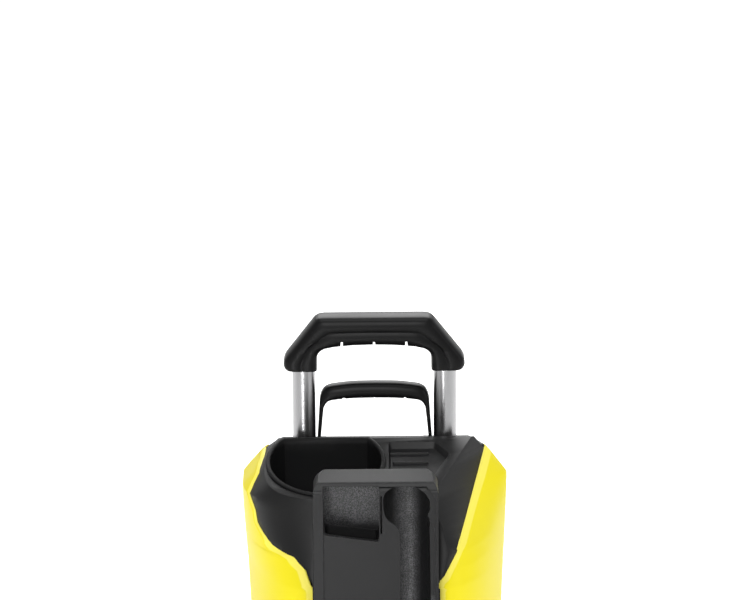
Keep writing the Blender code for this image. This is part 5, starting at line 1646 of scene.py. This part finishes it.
class WasherColours(bpy.types.PropertyGroup):
    body: FloatVectorProperty(name="Body", description="Colour of the black mouldings", subtype="COLOR",
                              default=BLACK, min=0.0, max=1.0)
    accent: FloatVectorProperty(name="Accent", description="Colour of the side shells, caps and knob",
                                subtype="COLOR", default=(0.86, 0.74, 0.012), min=0.0, max=1.0)


class WasherStage(bpy.types.PropertyGroup):
    sky: FloatProperty(name="Sky", description="Strength of the even light from all round", default=0.36,
                       min=0.0)
    floor_glow: FloatProperty(name="Floor glow", description="Light that the pale floor adds by itself",
                              default=0.7,
                              min=0.0)
    key: FloatProperty(name="Key light", description="Power of the main soft lights in watts", default=46.0,
                       min=0.0)
    pitch: FloatProperty(name="Camera pitch", description="How far the camera looks down, in degrees",
                         default=16.0)


class WASHER_OT_stage(bpy.types.Operator):
    """Makes the pale floor, the soft lights and the camera."""
    bl_idname = "washer.stage"
    bl_label = "Floor, lights and camera"

    def execute(self, context):
        make_stage()
        return {"FINISHED"}


class WASHER_OT_inner(bpy.types.Operator):
    """Gives the nodes that stay as they are their finishes."""
    bl_idname = "washer.inner"
    bl_label = "Finishes inside"

    def execute(self, context):
        dress_inner_nodes()
        return {"FINISHED"}


class WASHER_OT_grip(bpy.types.Operator):
    """Makes the grip on the telescopic tubes."""
    bl_idname = "washer.grip"
    bl_label = "Pull handle grip"

    def execute(self, context):
        make_handle_grip()
        return {"FINISHED"}


class WASHER_OT_tubes(bpy.types.Operator):
    """Draws both round tubes and their collars."""
    bl_idname = "washer.tubes"
    bl_label = "Telescopic tubes"

    def execute(self, context):
        make_tubes()
        return {"FINISHED"}


class WASHER_OT_carry_handle(bpy.types.Operator):
    """Makes the handle behind the deck."""
    bl_idname = "washer.carry_handle"
    bl_label = "Carrying handle"

    def execute(self, context):
        make_carry_handle()
        return {"FINISHED"}


class WASHER_OT_casing(bpy.types.Operator):
    """Cuts the deck, the lower cover and the rear cover from one shell."""
    bl_idname = "washer.casing"
    bl_label = "Deck and covers"

    def execute(self, context):
        shell = casing_shell("casing_shell")
        make_deck(shell)
        make_lower_cover(shell)
        make_rear_cover(shell)
        bpy.data.objects.remove(shell)
        return {"FINISHED"}


class WASHER_OT_side_shells(bpy.types.Operator):
    """Makes the yellow shell on each side."""
    bl_idname = "washer.side_shells"
    bl_label = "Side shells"

    def execute(self, context):
        make_side_shell(1)
        make_side_shell(-1)
        return {"FINISHED"}


class WASHER_OT_bottle_cup(bpy.types.Operator):
    """Makes the well for the detergent bottle."""
    bl_idname = "washer.bottle_cup"
    bl_label = "Bottle cup"

    def execute(self, context):
        make_bottle_cup()
        return {"FINISHED"}


class WASHER_OT_holder(bpy.types.Operator):
    """Makes the tower with the gun pocket and the lance channel."""
    bl_idname = "washer.holder"
    bl_label = "Accessory holder"

    def execute(self, context):
        make_holder()
        return {"FINISHED"}


class WASHER_OT_screws(bpy.types.Operator):
    """Sets screw heads on the rear cover."""
    bl_idname = "washer.screws"
    bl_label = "Screws"

    def execute(self, context):
        make_screws()
        return {"FINISHED"}


class WASHER_OT_wheels(bpy.types.Operator):
    """Makes both wheels with their tread and caps."""
    bl_idname = "washer.wheels"
    bl_label = "Wheels"

    def execute(self, context):
        make_wheels()
        return {"FINISHED"}


class WASHER_OT_feet(bpy.types.Operator):
    """Makes the rubber feet."""
    bl_idname = "washer.feet"
    bl_label = "Feet"

    def execute(self, context):
        make_feet()
        return {"FINISHED"}


class WASHER_OT_knob(bpy.types.Operator):
    """Makes the turning power switch."""
    bl_idname = "washer.knob"
    bl_label = "Switch knob"

    def execute(self, context):
        make_knob()
        return {"FINISHED"}


class WASHER_OT_outlet(bpy.types.Operator):
    """Makes the outlet coupling and its release button."""
    bl_idname = "washer.outlet"
    bl_label = "Pressure outlet"

    def execute(self, context):
        make_outlet()
        return {"FINISHED"}


class WASHER_OT_inlet(bpy.types.Operator):
    """Makes the garden hose inlet and the cord's strain relief."""
    bl_idname = "washer.inlet"
    bl_label = "Inlet and cord gland"

    def execute(self, context):
        make_inlet_and_gland()
        return {"FINISHED"}


class WASHER_OT_hooks(bpy.types.Operator):
    """Makes the hose hook and both cord hooks."""
    bl_idname = "washer.hooks"
    bl_label = "Hooks"

    def execute(self, context):
        make_hooks()
        return {"FINISHED"}


OPERATORS = (
    WASHER_OT_stage, WASHER_OT_inner, WASHER_OT_grip,
    WASHER_OT_tubes, WASHER_OT_carry_handle, WASHER_OT_casing,
    WASHER_OT_side_shells, WASHER_OT_bottle_cup, WASHER_OT_holder,
    WASHER_OT_screws, WASHER_OT_wheels, WASHER_OT_feet,
    WASHER_OT_knob, WASHER_OT_outlet, WASHER_OT_inlet,
    WASHER_OT_hooks,
)


class WASHER_PT_panel(bpy.types.Panel):
    """Lists the washer's pieces."""
    bl_label = "Pressure washer"
    bl_space_type = "VIEW_3D"
    bl_region_type = "UI"
    bl_category = "Washer"

    def draw(self, context):
        column = self.layout.column()
        for group in (context.scene.washer_colours, context.scene.washer_stage):
            for key in group.bl_rna.properties.keys()[2:]:
                column.prop(group, key)
        for operator in OPERATORS:
            column.operator(operator.bl_idname)


CLASSES = (WasherColours, WasherStage, *OPERATORS, WASHER_PT_panel)


def register():
    for cls in CLASSES:
        bpy.utils.register_class(cls)
    bpy.types.Scene.washer_colours = PointerProperty(type=WasherColours)
    bpy.types.Scene.washer_stage = PointerProperty(type=WasherStage)


def unregister():
    del bpy.types.Scene.washer_stage
    del bpy.types.Scene.washer_colours
    for cls in reversed(CLASSES):
        bpy.utils.unregister_class(cls)


def main():
    register()
    for operator in OPERATORS:
        group, name = operator.bl_idname.split(".")
        getattr(getattr(bpy.ops, group), name)()


if __name__ == "__main__":
    main()
